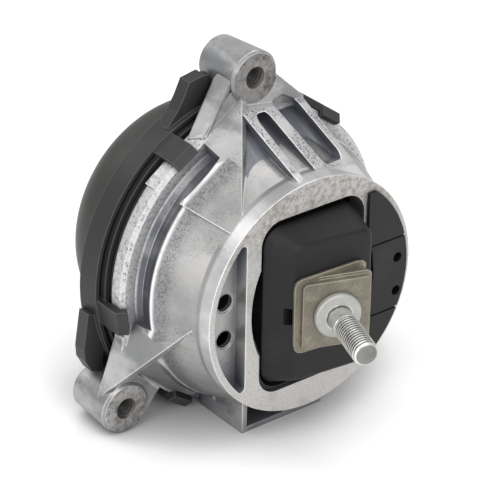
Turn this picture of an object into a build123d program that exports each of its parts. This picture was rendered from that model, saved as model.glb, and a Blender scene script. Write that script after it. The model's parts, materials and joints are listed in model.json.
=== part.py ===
"""Hydraulic engine mount: die-cast housing with three ears, rubber spring, fluid chamber and clip ring.

Frame: X to the right of the ring face, Z up as the mount lies, and the main axis along Y.
The pieces are drawn about the middle of the ring face: the ring face stands at depth 0, the stud
points to -Y, and depth grows towards +Y (the rear cup). The finished pieces are moved so that the
origin lies on the floor, under the middle of the whole mount. All sizes are in millimetres.
"""

import os
from math import cos, radians, sin, sqrt

from build123d import *

os.makedirs("parts", exist_ok=True)

# Cuts run past the faces they open
cut_over = 1.0

# Housing, front ring
ring_radius = 58.0
ring_length = 10.0
face_thickness = 10.5
window_half_height = 44.0
window_half_width = 34.4
window_lobe_half_width = 29.5
window_lobe_corner = 11.0
lens_chord = 37.5
lens_lip = 3.0
lens_depth = 7.5
lens_corner = 2.0
core_pin_diameter = 8.5
core_pin_chamfer = 0.8
core_pin_offset = 43.5
core_pin_heights = (7.0, -11.8)

# Housing, cone and flange
shoulder_step = 7.3
shoulder_depth = 32.5
valley_step = 2.3
valley_front = 37.5
valley_rear = 41.0
valley_root = 2.5
valley_slope = 0.4
valley_start = 113.0
valley_end = 190.0
flange_radius = 73.6
flange_thickness = 7.7
flange_rear = 51.2
flange_edge = 1.6
cone_wall = 5.5
bore_wall = 4.0
bore_depth = 11.2

# Ears
ear_pitch_ratio = 1.2337
ear_radius = 12.8
ear_front = 43.5
ear_rear = 71.0
ear_edge = 1.2
ear_draft = 1.4
ear_spread = 128.0
ear_thread_diameter = 10.0
ear_thread_pitch = 1.5
ear_thread_mouth = 1.0
ear_plate_front = 45.0
block_plate_front = 43.5

# Ribs and walls that carry the ears
rib_sink = 9.0
wall_thickness = 3.2
wall_reach = 25.0
plate_drop = 4.3
plate_foot_ratio = 0.75

# Left wall of the upper ear: x places, drop below the ear's axis, rise over the flange, depths
left_wall_top_x = -10.0
left_wall_top_drop = 12.6
left_wall_top_depth = 40.0
left_wall_foot_x = -34.0
left_wall_foot_depth = 8.5
left_wall_rear_x = -27.6
left_wall_rear_rise = 2.6
left_plate_x = -28.6
left_plate_rise = 0.6

# Block of two ribs and a right wall under the upper ear: x places with drops below the ear's axis
# at the top, and steps from the ring's radius at the foot
ribs_plane_top_x = -9.7
ribs_plane_top_drop = 13.1
ribs_plane_top_depth = 40.0
ribs_plane_foot_x = -4.3
ribs_plane_foot_depth = 4.0
ribs_plane_side_x = 11.5
ribs_plane_side_depth = 7.2
ribs_left_top_x = -10.2
ribs_left_foot_x = -6.2
ribs_bend_x = 28.0
ribs_bend_drop = 16.2
ribs_right_foot_x = 31.0
ribs_foot_step = -6.0
ribs_boss_x = 12.6
ribs_boss_drop = 1.6
pocket_depth = 4.2
pocket_corner = 2.4
slot_left_top_x = -4.8
slot_left_top_drop = 14.9
slot_right_top_x = 3.4
slot_right_top_drop = 15.6
slot_left_foot_x = -2.2
slot_right_foot_x = 7.4
slot_foot_step = -7.0
pocket_left_top_x = 9.4
pocket_left_top_drop = 14.6
pocket_crown_x = 15.6
pocket_crown_drop = 12.4
pocket_right_top_x = 23.4
pocket_right_top_drop = 17.0
pocket_right_foot_x = 26.2
pocket_right_foot_step = 4.2
pocket_left_foot_x = 13.6
pocket_left_foot_step = 1.0
right_plate_x = 30.0
right_plate_rise = 3.6

# Walls of a lower ear: angles from the right of the ring and steps from the ear, ring and flange radii
low_wall_top_step = -2.2
low_wall_top_angle = -28.1
low_wall_top_depth = 44.0
low_wall_foot_step = -1.0
low_wall_foot_angle = -0.5
low_wall_foot_depth = 9.0
low_wall_rear_step = 1.0
low_wall_rear_angle = -15.2
web_ear_step = -3.5
web_ear_angle = -29.5
web_ring_step = -2.5
web_ring_angle = -2.1
web_under_angle = -46.5
web_ridge_step = 1.8
web_ridge_angle = -32.2
web_valley_step = 4.8
web_valley_angle = -49.5
web_valley_depth = 30.0
web_foot_angle = -1.3
web_foot_depth = 10.0
web_low_step = -3.4
web_low_angle = -57.2
web_notch_angle = -45.0
web_rear_step = -6.7
web_rear_angle = -44.5
low_plate_left_x = -29.5
low_plate_left_rise = 0.5
low_plate_right_x = 9.6

# Foot below the ring
foot_front = 11.0
foot_length = 31.6
foot_left = 29.7
foot_right = 17.0
foot_wall = 2.7
foot_web_offset = 4.2
foot_sink = 22.0

# Rubber pad and lining in the ring
pad_thickness = 2.0
pad_clearance = 0.15
pad_window_gap = 0.4
pad_half_height = 42.0
pad_inner = 31.0
pad_groove = 1.2
pad_groove_depth = 1.0
pad_groove_heights = (14.5, -22.5)
pad_hole_diameter = 5.0
pad_hole_offset = 49.2
pad_hole_heights = (3.8, -13.7)
pad_hole_depth = 6.0
lining_thickness = 1.6
lining_start = 1.5
lining_length = 8.0
lining_top = -14.0
lining_clearance = 0.05

# Core, stop block and stud
core_x = 0.8
core_front = 16.6
core_z = -2.2
core_tilt = 19.4
core_width = 32.0
core_height = 33.0
core_corner = 2.4
core_rim_step = 1.5
core_rim_set_back = 3.2
core_taper = 4.0
core_block_length = 22.0
core_cone_start = -2.0
core_cone_end = 31.0
core_cone_radius = 17.0
core_cone_nose_radius = 12.0
core_cone_nose_length = 8.0
core_tip_radius = 9.5
block_tilt = 7.0
block_set_back = 6.4
block_half_width = 20.6
block_top = 32.4
block_bottom = 36.4
block_corner = 6.0
block_play = 1.2
block_root_depth = 2.0
block_rear = 14.0
block_root_corner = 9.0
block_edge = 2.2
notch_front = -7.8
notch_length = 3.2
notch_bottom = -6.5
notch_height = 8.5
notch_side = -14.0
block_shift = 2.0
stud_diameter = 12.0
stud_shank_diameter = 10.8
stud_shank_length = 9.0
stud_reach = 37.5
stud_tip_chamfer = 1.2
stud_root_length = 14.0
collar_diameter = 23.0
collar_thickness = 3.4
collar_chamfer = 0.8

# Fluid chamber
outer_ring_clearance = 0.15
outer_ring_length = 4.0
outer_ring_lip = 4.0
spring_wall = 13.0
spring_tip_cover = 4.0
spring_tip_step = 2.0
spring_foot_width = 6.0
spring_lip_width = 3.0
spring_lip_length = 4.0
plate_thickness = 3.3
stack_gap = 0.1
track_rim = 8.0
track_width = 7.0
track_depth = 1.7
track_sweep = 300.0
port_radius = 18.0
port_diameter = 4.0
port_count = 8
membrane_radius = 27.0
membrane_thickness = 2.6
membrane_clearance = 0.3
membrane_play = 0.1
bellows_rim_width = 5.0
bellows_rim_height = 3.5
bellows_wall = 1.8
bellows_reach = 30.0
bellows_room = 11.0
bellows_roll = 8.0
clamp_height = 2.8

# Rear cup and clip ring
cup_flange_step = 1.6
cup_flange_thickness = 3.0
cup_neck_step = 6.0
cup_wall = 2.2
cup_shoulder_step = 2.2
cup_neck = 12.0
cup_taper = 6.0
cup_body_step = 5.0
cup_straight = 41.0
cup_round = 18.0
cup_crown = 3.0
clip_clearance = 0.3
band_rise = 6.4
band_nose_rise = 4.6
band_nose_depth = 57.2
band_rear = 67.0
band_right_rise = 2.0
band_skin = 1.8
band_recess = 3.3
band_seat_rise = 0.9
band_wall = 3.0
band_groove_depth = 7.0
hook_angles = (54.0, 122.0, 187.0, 236.0, 304.0, 353.0)
hook_width = 12.0
hook_thickness = 3.2
hook_bite = 2.6
hook_lip = 3.0
hook_gap = 0.5
hook_root = 5.0
hook_nose = 0.6
arm_start = 2.0
arm_thickness = 7.0
arm_gap = 0.6

# Outlines of the two arms of the clip ring: step from the band's radius, and angle
top_arm = (
    (-0.8, 117.9), (3.1, 112.1), (7.0, 108.8), (12.7, 105.5), (12.3, 100.0), (3.7, 99.6), (-6.8, 108.2),
)
low_arm = (
    (1.6, 187.0), (8.2, 198.5), (9.9, 202.2), (9.4, 207.3), (5.4, 210.2), (-2.3, 201.0), (-4.7, 190.7),
)

# Sizes worked out from the ones above
lower_ear_angle = ear_spread - 90.0
cup_flange_radius = flange_radius - cup_flange_step
cup_radius = cup_flange_radius - cup_neck_step
cup_body_radius = cup_radius - cup_body_step
bellows_radius = cup_body_radius - bellows_room
band_radius = flange_radius + band_rise
band_nose_radius = flange_radius + band_nose_rise
band_right_radius = flange_radius + band_right_rise
ear_pitch_radius = flange_radius * ear_pitch_ratio
rest_drop = ear_pitch_radius * sin(radians(lower_ear_angle)) + ear_radius
stud_tip_radius = (stud_diameter - stud_tip_chamfer) / 2.0
front_reach = core_front + stud_reach * cos(radians(core_tilt)) + stud_tip_radius * sin(radians(core_tilt))
rear_reach = flange_rear + stack_gap + cup_straight + cup_round + cup_crown
middle_depth = (rear_reach - front_reach) / 2.0
flange_front = flange_rear - flange_thickness
bore_front = flange_rear - bore_depth
shoulder_radius = flange_radius - shoulder_step
valley_radius = shoulder_radius - valley_step
bore_radius = valley_radius - bore_wall
track_radius = bore_radius - track_rim
cavity_radius = valley_radius - cone_wall
lens_arc = ring_radius - lens_lip
thread_minor_diameter = ear_thread_diameter - ear_thread_pitch
stack_radius = bore_radius - outer_ring_clearance
cup_inner_radius = cup_radius - cup_wall
block_root_half_width = window_lobe_half_width - lining_thickness - block_play
block_root_half_height = window_half_height - lining_thickness - 2.0 * block_play


def slab(sketch, front, back):
    """Prism of a sketch in the XZ plane, from one depth to another."""
    return extrude(Plane.XZ.offset(-front) * sketch, amount=front - back)


def turned(points):
    """Solid turned about the main axis from (radius, depth) points."""
    return revolve(make_face(Polyline(*points, close=True)), Axis.Y)


def around(shape, angle):
    """Shape turned about the main axis from the top (90 degrees) to another angle."""
    return Rot(0, 90.0 - angle, 0) * shape


def polar(radius, angle):
    """Point (x, z) at a radius from the main axis and an angle from the right of the ring."""
    return radius * cos(radians(angle)), radius * sin(radians(angle))


def at_radius(x, radius):
    """Point (x, z) above the main axis at a given x and radius."""
    return x, sqrt(radius ** 2 - x ** 2)


def mirrored(shape):
    """Left and right swapped."""
    return mirror(shape, about=Plane.YZ)


def above_rest(shape):
    """Shape trimmed flat where the mount rests."""
    return split(shape, bisect_by=Plane((0, 0, -rest_drop)), keep=Keep.TOP)


def window_outline(inset=0.0):
    """Window of the ring: a rounded lobe above and below, bulging at the sides."""
    half_width = window_half_width - inset
    lobe = window_lobe_half_width - inset
    height = window_half_height - inset
    rise = window_half_height / 2.0
    bulge = half_width - lobe
    side_radius = (rise ** 2 + bulge ** 2) / (2.0 * bulge)
    shift = side_radius - half_width
    sides = (Pos(-shift, 0) * Circle(side_radius)) & (Pos(shift, 0) * Circle(side_radius))
    sides = sides & Rectangle(2.0 * half_width, 2.0 * height)
    lobes = RectangleRounded(2.0 * lobe, 2.0 * height, window_lobe_corner)
    return sides + lobes


def lens_outline(gap=0.0):
    """Lens between the window wall and the thin lip, on the right of the ring."""
    chord = lens_chord + gap
    arc = lens_arc - gap
    block = Pos(chord + arc / 2.0, 0) * Rectangle(arc, 2.0 * arc)
    lens = Circle(arc) & block
    return fillet(lens.vertices(), lens_corner)


def front_plane(a, b, c):
    """Plane through three (x, z, depth) points, with its normal towards the front."""
    first, second, third = [Vector(p[0], p[2], p[1]) for p in (a, b, c)]
    normal = (second - first).cross(third - first).normalized()
    if normal.Y > 0:
        normal = normal * -1.0
    return Plane(first, z_dir=normal)


def side_wall(top, foot, rear, side, over):
    """Wall on one side of an ear: a slanting front edge, and an outer face that flares to the rear.

    top and foot are (x, z, depth) on the front edge, and rear is the (x, z) where the outer face
    meets the back of the flange. side is -1 where the outside lies to the left, and 1 to the right.
    over is how far the wall runs on beyond top.
    """
    run = Vector(top[0] - foot[0], 0, top[1] - foot[1]).normalized()
    across = Vector(run.Z, 0, -run.X)
    if across.X * side < 0:
        across = across * -1.0
    start = Vector(foot[0], 0, foot[1]) - run * rib_sink
    end = Vector(top[0], 0, top[1]) + run * over
    inner = across * -wall_thickness
    outer = across * wall_reach
    corners = [start + inner, end + inner, end + outer, start + outer]
    blank = slab(make_face(Polyline(*[(p.X, p.Z) for p in corners], close=True)), 0, flange_rear)
    outer_face = front_plane(top, foot, (rear[0], rear[1], flange_rear))
    front_face = front_plane(top, foot, (top[0] + across.X, top[1] + across.Z, top[2]))
    wall = split(blank, bisect_by=outer_face, keep=Keep.BOTTOM)
    return split(wall, bisect_by=front_face, keep=Keep.BOTTOM)


def ear_back(left, right):
    """Plate from the flange to the ear; left and right are its (x, z) corners on the flange."""
    corners = [
        (left[0] * plate_foot_ratio, cavity_radius),
        left,
        (-ear_radius, ear_pitch_radius - plate_drop),
        (ear_radius, ear_pitch_radius - plate_drop),
        right,
        (right[0] * plate_foot_ratio, cavity_radius),
    ]
    return slab(make_face(Polyline(*corners, close=True)), ear_plate_front, flange_rear)


def ear_boss():
    """Long boss of an ear, without its thread."""
    rear_radius = ear_radius - ear_draft
    points = [
        (0, ear_front),
        (ear_radius - ear_edge, ear_front),
        (ear_radius, ear_front + ear_edge),
        (rear_radius, ear_rear - ear_edge),
        (rear_radius - ear_edge, ear_rear),
        (0, ear_rear),
    ]
    boss = revolve(make_face(Polyline(*points, close=True)), Axis.Y)
    return Pos(0, 0, ear_pitch_radius) * boss


def ear_bore():
    """Hole of an ear at its thread's minor diameter, with a chamfered mouth at both ends."""
    radius = thread_minor_diameter / 2.0
    mouth = radius + ear_thread_mouth
    points = [
        (0, ear_front - cut_over),
        (mouth, ear_front - cut_over),
        (mouth, ear_front),
        (radius, ear_front + ear_thread_mouth),
        (radius, ear_rear - ear_thread_mouth),
        (mouth, ear_rear),
        (mouth, ear_rear + cut_over),
        (0, ear_rear + cut_over),
    ]
    hole = revolve(make_face(Polyline(*points, close=True)), Axis.Y)
    return Pos(0, 0, ear_pitch_radius) * hole


def below_ear(x, drop):
    """Point (x, z) below the axis of the upper ear."""
    return x, ear_pitch_radius - drop


def ribs_block():
    """Block between the inner rib and the right wall, with a slot and a wide pocket cut from the front."""
    plane = front_plane(
        (*below_ear(ribs_plane_top_x, ribs_plane_top_drop), ribs_plane_top_depth),
        (*at_radius(ribs_plane_foot_x, ring_radius), ribs_plane_foot_depth),
        (*at_radius(ribs_plane_side_x, ring_radius), ribs_plane_side_depth),
    )
    foot = ring_radius + ribs_foot_step
    outline = make_face(Polyline(
        below_ear(ribs_left_top_x, ribs_plane_top_drop),
        below_ear(ribs_boss_x, ribs_boss_drop),
        below_ear(ribs_bend_x, ribs_bend_drop),
        at_radius(ribs_right_foot_x, foot),
        at_radius(ribs_left_foot_x, foot),
        close=True,
    ))
    block = slab(outline, block_plate_front, flange_rear)
    block += split(slab(outline, 0, flange_rear), bisect_by=plane, keep=Keep.BOTTOM)
    slot = make_face(Polyline(
        below_ear(slot_left_top_x, slot_left_top_drop),
        below_ear(slot_right_top_x, slot_right_top_drop),
        at_radius(slot_right_foot_x, ring_radius + slot_foot_step),
        at_radius(slot_left_foot_x, ring_radius + slot_foot_step),
        close=True,
    ))
    pocket = make_face(Polyline(
        below_ear(pocket_left_top_x, pocket_left_top_drop),
        below_ear(pocket_crown_x, pocket_crown_drop),
        below_ear(pocket_right_top_x, pocket_right_top_drop),
        at_radius(pocket_right_foot_x, ring_radius + pocket_right_foot_step),
        at_radius(pocket_left_foot_x, ring_radius + pocket_left_foot_step),
        close=True,
    ))
    floor = block_plate_front + pocket_depth
    for hollow in (slot, pocket):
        block -= slab(fillet(hollow.vertices(), pocket_corner), -cut_over, floor)
    return block


def top_ear():
    """Upper ear with its left wall and the block of ribs."""
    parts = ear_boss()
    left_top = (*below_ear(left_wall_top_x, left_wall_top_drop), left_wall_top_depth)
    left_foot = (*at_radius(left_wall_foot_x, ring_radius), left_wall_foot_depth)
    left_rear = at_radius(left_wall_rear_x, flange_radius + left_wall_rear_rise)
    parts += side_wall(left_top, left_foot, left_rear, -1, rib_sink)
    left_plate = at_radius(left_plate_x, flange_radius + left_plate_rise)
    right_plate = at_radius(right_plate_x, flange_radius + right_plate_rise)
    return parts + ear_back(left_plate, right_plate) + ribs_block()


def lower_ear():
    """Lower right ear: a wall on its upper side, and a web with two sloping faces below that."""
    parts = around(ear_boss(), -lower_ear_angle)
    top = (*polar(ear_pitch_radius + low_wall_top_step, low_wall_top_angle), low_wall_top_depth)
    foot = (*polar(ring_radius + low_wall_foot_step, low_wall_foot_angle), low_wall_foot_depth)
    rear = polar(flange_radius + low_wall_rear_step, low_wall_rear_angle)
    parts += side_wall(top, foot, rear, 1, rib_sink)
    web_ring = ring_radius + web_ring_step
    corners = [
        polar(ear_pitch_radius + web_ear_step, web_ear_angle),
        polar(web_ring, web_ring_angle),
        polar(web_ring, web_under_angle),
        polar(flange_radius + web_low_step, web_low_angle),
        polar(flange_radius, web_notch_angle),
        polar(ear_pitch_radius + web_rear_step, web_rear_angle),
    ]
    web = slab(make_face(Polyline(*corners, close=True)), 0, flange_rear)
    web_foot = (*polar(ring_radius + low_wall_foot_step, web_foot_angle), web_foot_depth)
    ridge_out = (*polar(flange_radius + web_ridge_step, web_ridge_angle), ear_front)
    ridge_in = (*polar(ring_radius + web_valley_step, web_valley_angle), web_valley_depth)
    low = (*polar(flange_radius, web_low_angle), ear_front)
    web = split(web, bisect_by=front_plane(web_foot, ridge_out, ridge_in), keep=Keep.BOTTOM)
    parts += split(web, bisect_by=front_plane(ridge_out, ridge_in, low), keep=Keep.BOTTOM)
    left_plate = at_radius(low_plate_left_x, flange_radius + low_plate_left_rise)
    right_plate = at_radius(low_plate_right_x, flange_radius)
    parts += around(ear_back(left_plate, right_plate), -lower_ear_angle)
    return parts


def foot_block():
    """Open foot under the ring: a floor, two side walls and a web."""
    back = foot_front + foot_length
    height = rest_drop - ring_radius + foot_sink
    middle = -rest_drop + height / 2.0
    width = foot_left + foot_right
    parts = slab(
        Pos((foot_right - foot_left) / 2.0, -rest_drop + foot_wall / 2.0) * Rectangle(width, foot_wall),
        foot_front,
        back,
    )
    for x in (-foot_left + foot_wall / 2.0, -foot_web_offset, foot_right - foot_wall / 2.0):
        parts += slab(Pos(x, middle) * Rectangle(foot_wall, height), foot_front, back)
    return parts


def hook_relief():
    """Room that the housing leaves for one snap hook, drawn at the top."""
    half = hook_width / 2.0 + hook_gap
    seat = flange_radius
    bite = flange_radius - hook_bite - hook_gap
    tip = flange_front - clip_clearance - hook_lip - hook_gap
    points = [
        (tip, bite),
        (flange_front, bite),
        (flange_front, seat),
        (flange_rear + cut_over, seat),
        (flange_rear + cut_over, seat + wall_reach),
        (tip, seat + wall_reach),
    ]
    return extrude(Plane.YZ * make_face(Polyline(*points, close=True)), amount=half, both=True)


def wall_groove():
    """Groove behind the shoulder where it runs on into the walls of the two left ears."""
    reach = ear_pitch_radius - shoulder_radius
    ring = turned([
        (shoulder_radius, shoulder_depth),
        (valley_radius, valley_front),
        (valley_radius, valley_rear),
        (valley_radius + valley_root, flange_front),
        (shoulder_radius + reach, flange_front),
        (shoulder_radius + reach, shoulder_depth + valley_slope * reach),
    ])
    far = 2.0 * ear_pitch_radius
    middle = (valley_start + valley_end) / 2.0
    sector = [(0, 0), polar(far, valley_start), polar(far, middle), polar(far, valley_end)]
    return ring & slab(make_face(Polyline(*sector, close=True)), 0, flange_rear)


def make_housing():
    """Die-cast housing: ring, cone, flange, three ears and a foot."""
    body = turned([
        (0, 0),
        (ring_radius, 0),
        (ring_radius, ring_length),
        (shoulder_radius, shoulder_depth),
        (valley_radius, valley_front),
        (valley_radius, valley_rear),
        (valley_radius + valley_root, flange_front),
        (flange_radius - flange_edge, flange_front),
        (flange_radius, flange_front + flange_edge),
        (flange_radius, flange_rear),
        (0, flange_rear),
    ])
    body += top_ear()
    right_ear = lower_ear()
    body += right_ear
    body += mirrored(right_ear)
    body += foot_block()
    body -= wall_groove()
    cavity = turned([
        (0, face_thickness),
        (lens_arc - cone_wall, face_thickness),
        (cavity_radius, bore_front),
        (bore_radius, bore_front),
        (bore_radius, flange_rear + cut_over),
        (0, flange_rear + cut_over),
    ])
    body -= cavity
    body -= slab(window_outline(), -cut_over, face_thickness + cut_over)
    lens = slab(lens_outline(), -cut_over, lens_depth)
    body -= lens
    body -= mirrored(lens)
    for height in core_pin_heights:
        for side in (-1, 1):
            place = Pos(side * core_pin_offset, height)
            body -= slab(place * Circle(core_pin_diameter / 2.0), 0, face_thickness + cut_over)
            mouth = place * Circle(core_pin_diameter / 2.0 + core_pin_chamfer)
            body -= slab(mouth, 0, lens_depth + core_pin_chamfer / 2.0)
    for angle in (90.0, -lower_ear_angle, 180.0 + lower_ear_angle):
        body -= around(ear_bore(), angle)
    for angle in hook_angles:
        body -= around(hook_relief(), angle)
    return above_rest(body)


def make_side_pad():
    """Rubber pad on the right of the ring: a plug in the lens pocket and a face plate over it."""
    plug = slab(lens_outline(pad_clearance), 0, lens_depth - pad_clearance)
    room = Pos(pad_inner + lens_arc / 2.0, 0) * Rectangle(lens_arc, 2.0 * pad_half_height)
    face = (Circle(lens_arc) & room) - window_outline(-pad_window_gap)
    pieces = face.faces().sort_by(Axis.X)
    plate = slab(Sketch() + pieces[-1], -pad_thickness, 0)
    pad = plug + plate
    for height in pad_groove_heights:
        groove = Pos(lens_arc, height) * Rectangle(2.0 * (lens_arc - pad_inner), pad_groove)
        pad -= slab(groove, -pad_thickness, -pad_thickness + pad_groove_depth)
    for height in pad_hole_heights:
        hole = Pos(pad_hole_offset, height) * Circle(pad_hole_diameter / 2.0)
        pad -= slab(hole, -pad_thickness, -pad_thickness + pad_hole_depth)
    return pad


def make_window_lining():
    """Rubber lining along the lower half of the window."""
    strip = window_outline(lining_clearance) - window_outline(lining_clearance + lining_thickness)
    below = Rectangle(4.0 * window_half_width, 2.0 * window_half_height)
    lower = Pos(0, lining_top - window_half_height) * below
    return slab(strip & lower, lining_start, lining_start + lining_length)


def core_plane(set_back=0.0):
    """Plane on the core's face, with its normal along the stud."""
    tilt = radians(core_tilt)
    outward = Vector(-sin(tilt), -cos(tilt), 0)
    face = Vector(core_x, -core_front, core_z)
    return Plane(face - outward * set_back, x_dir=(cos(tilt), -sin(tilt), 0), z_dir=outward)


def core_blank(gap=0.0):
    """Core with an even gap all round, so that the same form also cuts its seat."""
    width = core_width + 2.0 * gap
    height = core_height + 2.0 * gap
    face = extrude(
        core_plane(core_rim_set_back) * RectangleRounded(width, height, core_corner + gap),
        amount=core_rim_set_back + gap,
    )
    rim = core_plane(core_rim_set_back - gap) * RectangleRounded(
        width + 2.0 * core_rim_step, height + 2.0 * core_rim_step, core_corner + gap
    )
    root = core_plane(core_block_length) * RectangleRounded(
        width - core_taper, height - core_taper, core_corner + gap
    )
    block = face + loft([rim, root])
    cone = turned([
        (0, core_cone_start),
        (core_cone_nose_radius + gap, core_cone_start),
        (core_cone_radius + gap, core_cone_start + core_cone_nose_length),
        (core_tip_radius + gap, core_cone_end + gap),
        (0, core_cone_end + gap),
    ])
    return block + cone


def stud_seat(gap=0.0):
    """Root of the stud inside the core."""
    seat = core_plane(stud_root_length + gap) * Circle(stud_shank_diameter / 2.0 + gap)
    return extrude(seat, amount=stud_root_length + gap)


def make_core():
    """Core that the stud is pressed into."""
    return core_blank() - stud_seat(stack_gap)


def make_stud():
    """Stud with a round collar; its thread is drawn at the nominal diameter."""
    lengths = collar_thickness + stud_shank_length
    collar = extrude(core_plane(-stack_gap) * Circle(collar_diameter / 2.0), amount=collar_thickness)
    outer = collar.edges().filter_by(GeomType.CIRCLE)
    collar = chamfer(outer, collar_chamfer)
    shank = extrude(core_plane(-stack_gap) * Circle(stud_shank_diameter / 2.0), amount=lengths)
    thread = extrude(core_plane(-lengths) * Circle(stud_diameter / 2.0), amount=stud_reach - lengths)
    ends = thread.edges().filter_by(GeomType.CIRCLE)
    thread = chamfer(ends, stud_tip_chamfer / 2.0)
    root_end = core_plane(stud_root_length) * Circle(stud_shank_diameter / 2.0)
    root = extrude(root_end, amount=stud_root_length + stack_gap)
    return collar + shank + thread + root


def make_stop_buffer():
    """Rubber stop block moulded round the core, wider where it sits behind the window."""
    tilt = radians(block_tilt)
    outward = Vector(-sin(tilt), -cos(tilt), 0)
    centre = Vector(core_x, block_set_back - core_front, 0)
    face_plane = Plane(centre, x_dir=(cos(tilt), -sin(tilt), 0), z_dir=outward)
    height = block_top + block_bottom
    middle = (block_top - block_bottom) / 2.0
    face = Pos(core_x + block_shift, middle) * RectangleRounded(2.0 * block_half_width, height, block_corner)
    root = RectangleRounded(2.0 * block_root_half_width, 2.0 * block_root_half_height, block_root_corner)
    nose = loft([face_plane * face, Plane.XZ.offset(-block_root_depth) * root])
    nose = fillet(nose.faces().sort_by(Axis.Y)[0].edges(), block_edge)
    notch = Pos(notch_side - block_half_width, notch_bottom + notch_height / 2.0) * Rectangle(
        2.0 * block_half_width, notch_height
    )
    nose -= slab(notch, notch_front, notch_front + notch_length)
    skirt = slab(root, block_root_depth, block_rear)
    return nose + skirt - core_blank(stack_gap)


def make_outer_ring():
    """Metal ring that the rubber spring is bonded to, pressed into the housing's bore."""
    front = bore_front + stack_gap
    back = front + outer_ring_length
    inner_front = cavity_radius - outer_ring_lip
    return turned([
        (inner_front, front),
        (stack_radius, front),
        (stack_radius, back),
        (inner_front + outer_ring_lip / 2.0, back),
    ])


def make_main_spring():
    """Conical rubber spring between the core and the outer ring; it closes the fluid chamber."""
    front = bore_front + stack_gap
    back = front + outer_ring_length
    ring_inner = cavity_radius - outer_ring_lip - stack_gap
    start = block_rear + stack_gap
    return turned([
        (0, core_cone_end + spring_tip_cover),
        (core_tip_radius, core_cone_end + spring_tip_cover),
        (core_tip_radius + spring_wall, core_cone_end - spring_tip_step),
        (ring_inner - spring_foot_width, back),
        (ring_inner + outer_ring_lip / 2.0, back),
        (ring_inner, front),
        (ring_inner - spring_lip_width, front - spring_lip_length),
        (core_cone_radius + spring_wall, start),
        (0, start),
    ]) - core_blank(stack_gap)


def ring_of_ports(radius, count, diameter):
    """Sketch of holes on a circle."""
    return Sketch() + PolarLocations(radius, count) * Circle(diameter / 2.0)


def channel_track():
    """Curved channel cut into a plate, short of a full turn."""
    path = CenterArc((0, 0), track_radius, 0, track_sweep)
    return trace(path, track_width)


def make_upper_channel_plate():
    """Front channel plate: ports for the membrane and half of the long channel."""
    front = bore_front + outer_ring_length + 2.0 * stack_gap
    back = front + plate_thickness
    plate = slab(Circle(stack_radius), front, back)
    recess = membrane_thickness / 2.0 + membrane_play
    plate -= slab(channel_track(), back - track_depth, back + cut_over)
    plate -= slab(ring_of_ports(port_radius, port_count, port_diameter), front - cut_over, back + cut_over)
    plate -= slab(Circle(membrane_radius + membrane_clearance), back - recess, back + cut_over)
    plate -= slab(Pos(track_radius, 0) * Circle(port_diameter / 2.0), front - cut_over, back)
    return plate


def make_lower_channel_plate():
    """Rear channel plate: the mirror of the front one, with its channel port at the other end."""
    front = bore_front + outer_ring_length + plate_thickness + 3.0 * stack_gap
    back = front + plate_thickness
    plate = slab(Circle(stack_radius), front, back)
    recess = membrane_thickness / 2.0 + membrane_play
    plate -= slab(channel_track(), front - cut_over, front + track_depth)
    plate -= slab(ring_of_ports(port_radius, port_count, port_diameter), front - cut_over, back + cut_over)
    plate -= slab(Circle(membrane_radius + membrane_clearance), front - cut_over, front + recess)
    plate -= slab(Pos(*polar(track_radius, track_sweep)) * Circle(port_diameter / 2.0), front, back + cut_over)
    return plate


def make_membrane():
    """Loose rubber disc that flutters between the two plates."""
    middle = bore_front + outer_ring_length + plate_thickness + 2.5 * stack_gap
    half = membrane_thickness / 2.0
    return slab(Circle(membrane_radius), middle - half, middle + half)


def make_bellows():
    """Thin rolling diaphragm that holds the fluid in the rear cup."""
    front = flange_rear + stack_gap
    rim = cup_inner_radius - stack_gap
    inner = rim - bellows_rim_width
    base = front + bellows_reach
    wall = bellows_wall
    return turned([
        (inner, front),
        (rim, front),
        (rim, front + bellows_rim_height),
        (inner + wall, front + bellows_rim_height),
        (bellows_radius + wall, base - bellows_roll),
        (bellows_radius - bellows_roll, base),
        (0, base - bellows_roll),
        (0, base - bellows_roll - wall),
        (bellows_radius - bellows_roll - wall, base - wall),
        (bellows_radius - wall / 2.0, base - bellows_roll - wall),
    ])


def make_bellows_clamp():
    """Pressed ring that clamps the rim of the diaphragm in the cup."""
    front = flange_rear + bellows_rim_height + 2.0 * stack_gap
    rim = cup_inner_radius - stack_gap
    inner = rim - bellows_rim_width + 2.0 * bellows_wall
    return turned([(inner, front), (rim, front), (rim, front + clamp_height), (inner, front + clamp_height)])


def cup_side(radius, neck_radius, start, neck, straight, corner, crown):
    """Half section of a domed cup from (radius, depth) runs and one round corner."""
    turn = radians(45)
    middle = (radius - corner * (1.0 - cos(turn)), straight + corner * sin(turn))
    wall = Polyline(start, (neck_radius, start[1]), (neck_radius, neck), (radius, neck + cup_taper), (radius, straight))
    bend = ThreePointArc((radius, straight), middle, (radius - corner, straight + corner))
    lid = Polyline((radius - corner, straight + corner), (0, straight + corner + crown), start)
    return make_face(Curve() + [wall, bend, lid])


def make_rear_cup():
    """Domed rear cup with a flange against the housing and a step for the clamp ring."""
    front = flange_rear + stack_gap
    step = front + bellows_rim_height + clamp_height + 3.0 * stack_gap
    neck = front + cup_neck
    straight = front + cup_straight
    outer = cup_side(cup_body_radius, cup_radius, (0, front), neck, straight, cup_round, cup_crown)
    inner_neck = cup_inner_radius - cup_shoulder_step
    inner = cup_side(
        cup_body_radius - cup_wall,
        inner_neck,
        (0, front - cut_over),
        neck - cup_wall / 2.0,
        straight,
        cup_round - cup_wall,
        cup_crown,
    )
    flange = slab(Circle(cup_flange_radius), front, front + cup_flange_thickness)
    cup = flange + revolve(outer, Axis.Y) - revolve(inner, Axis.Y)
    return above_rest(cup - slab(Circle(cup_inner_radius), front - cut_over, step))


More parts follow.
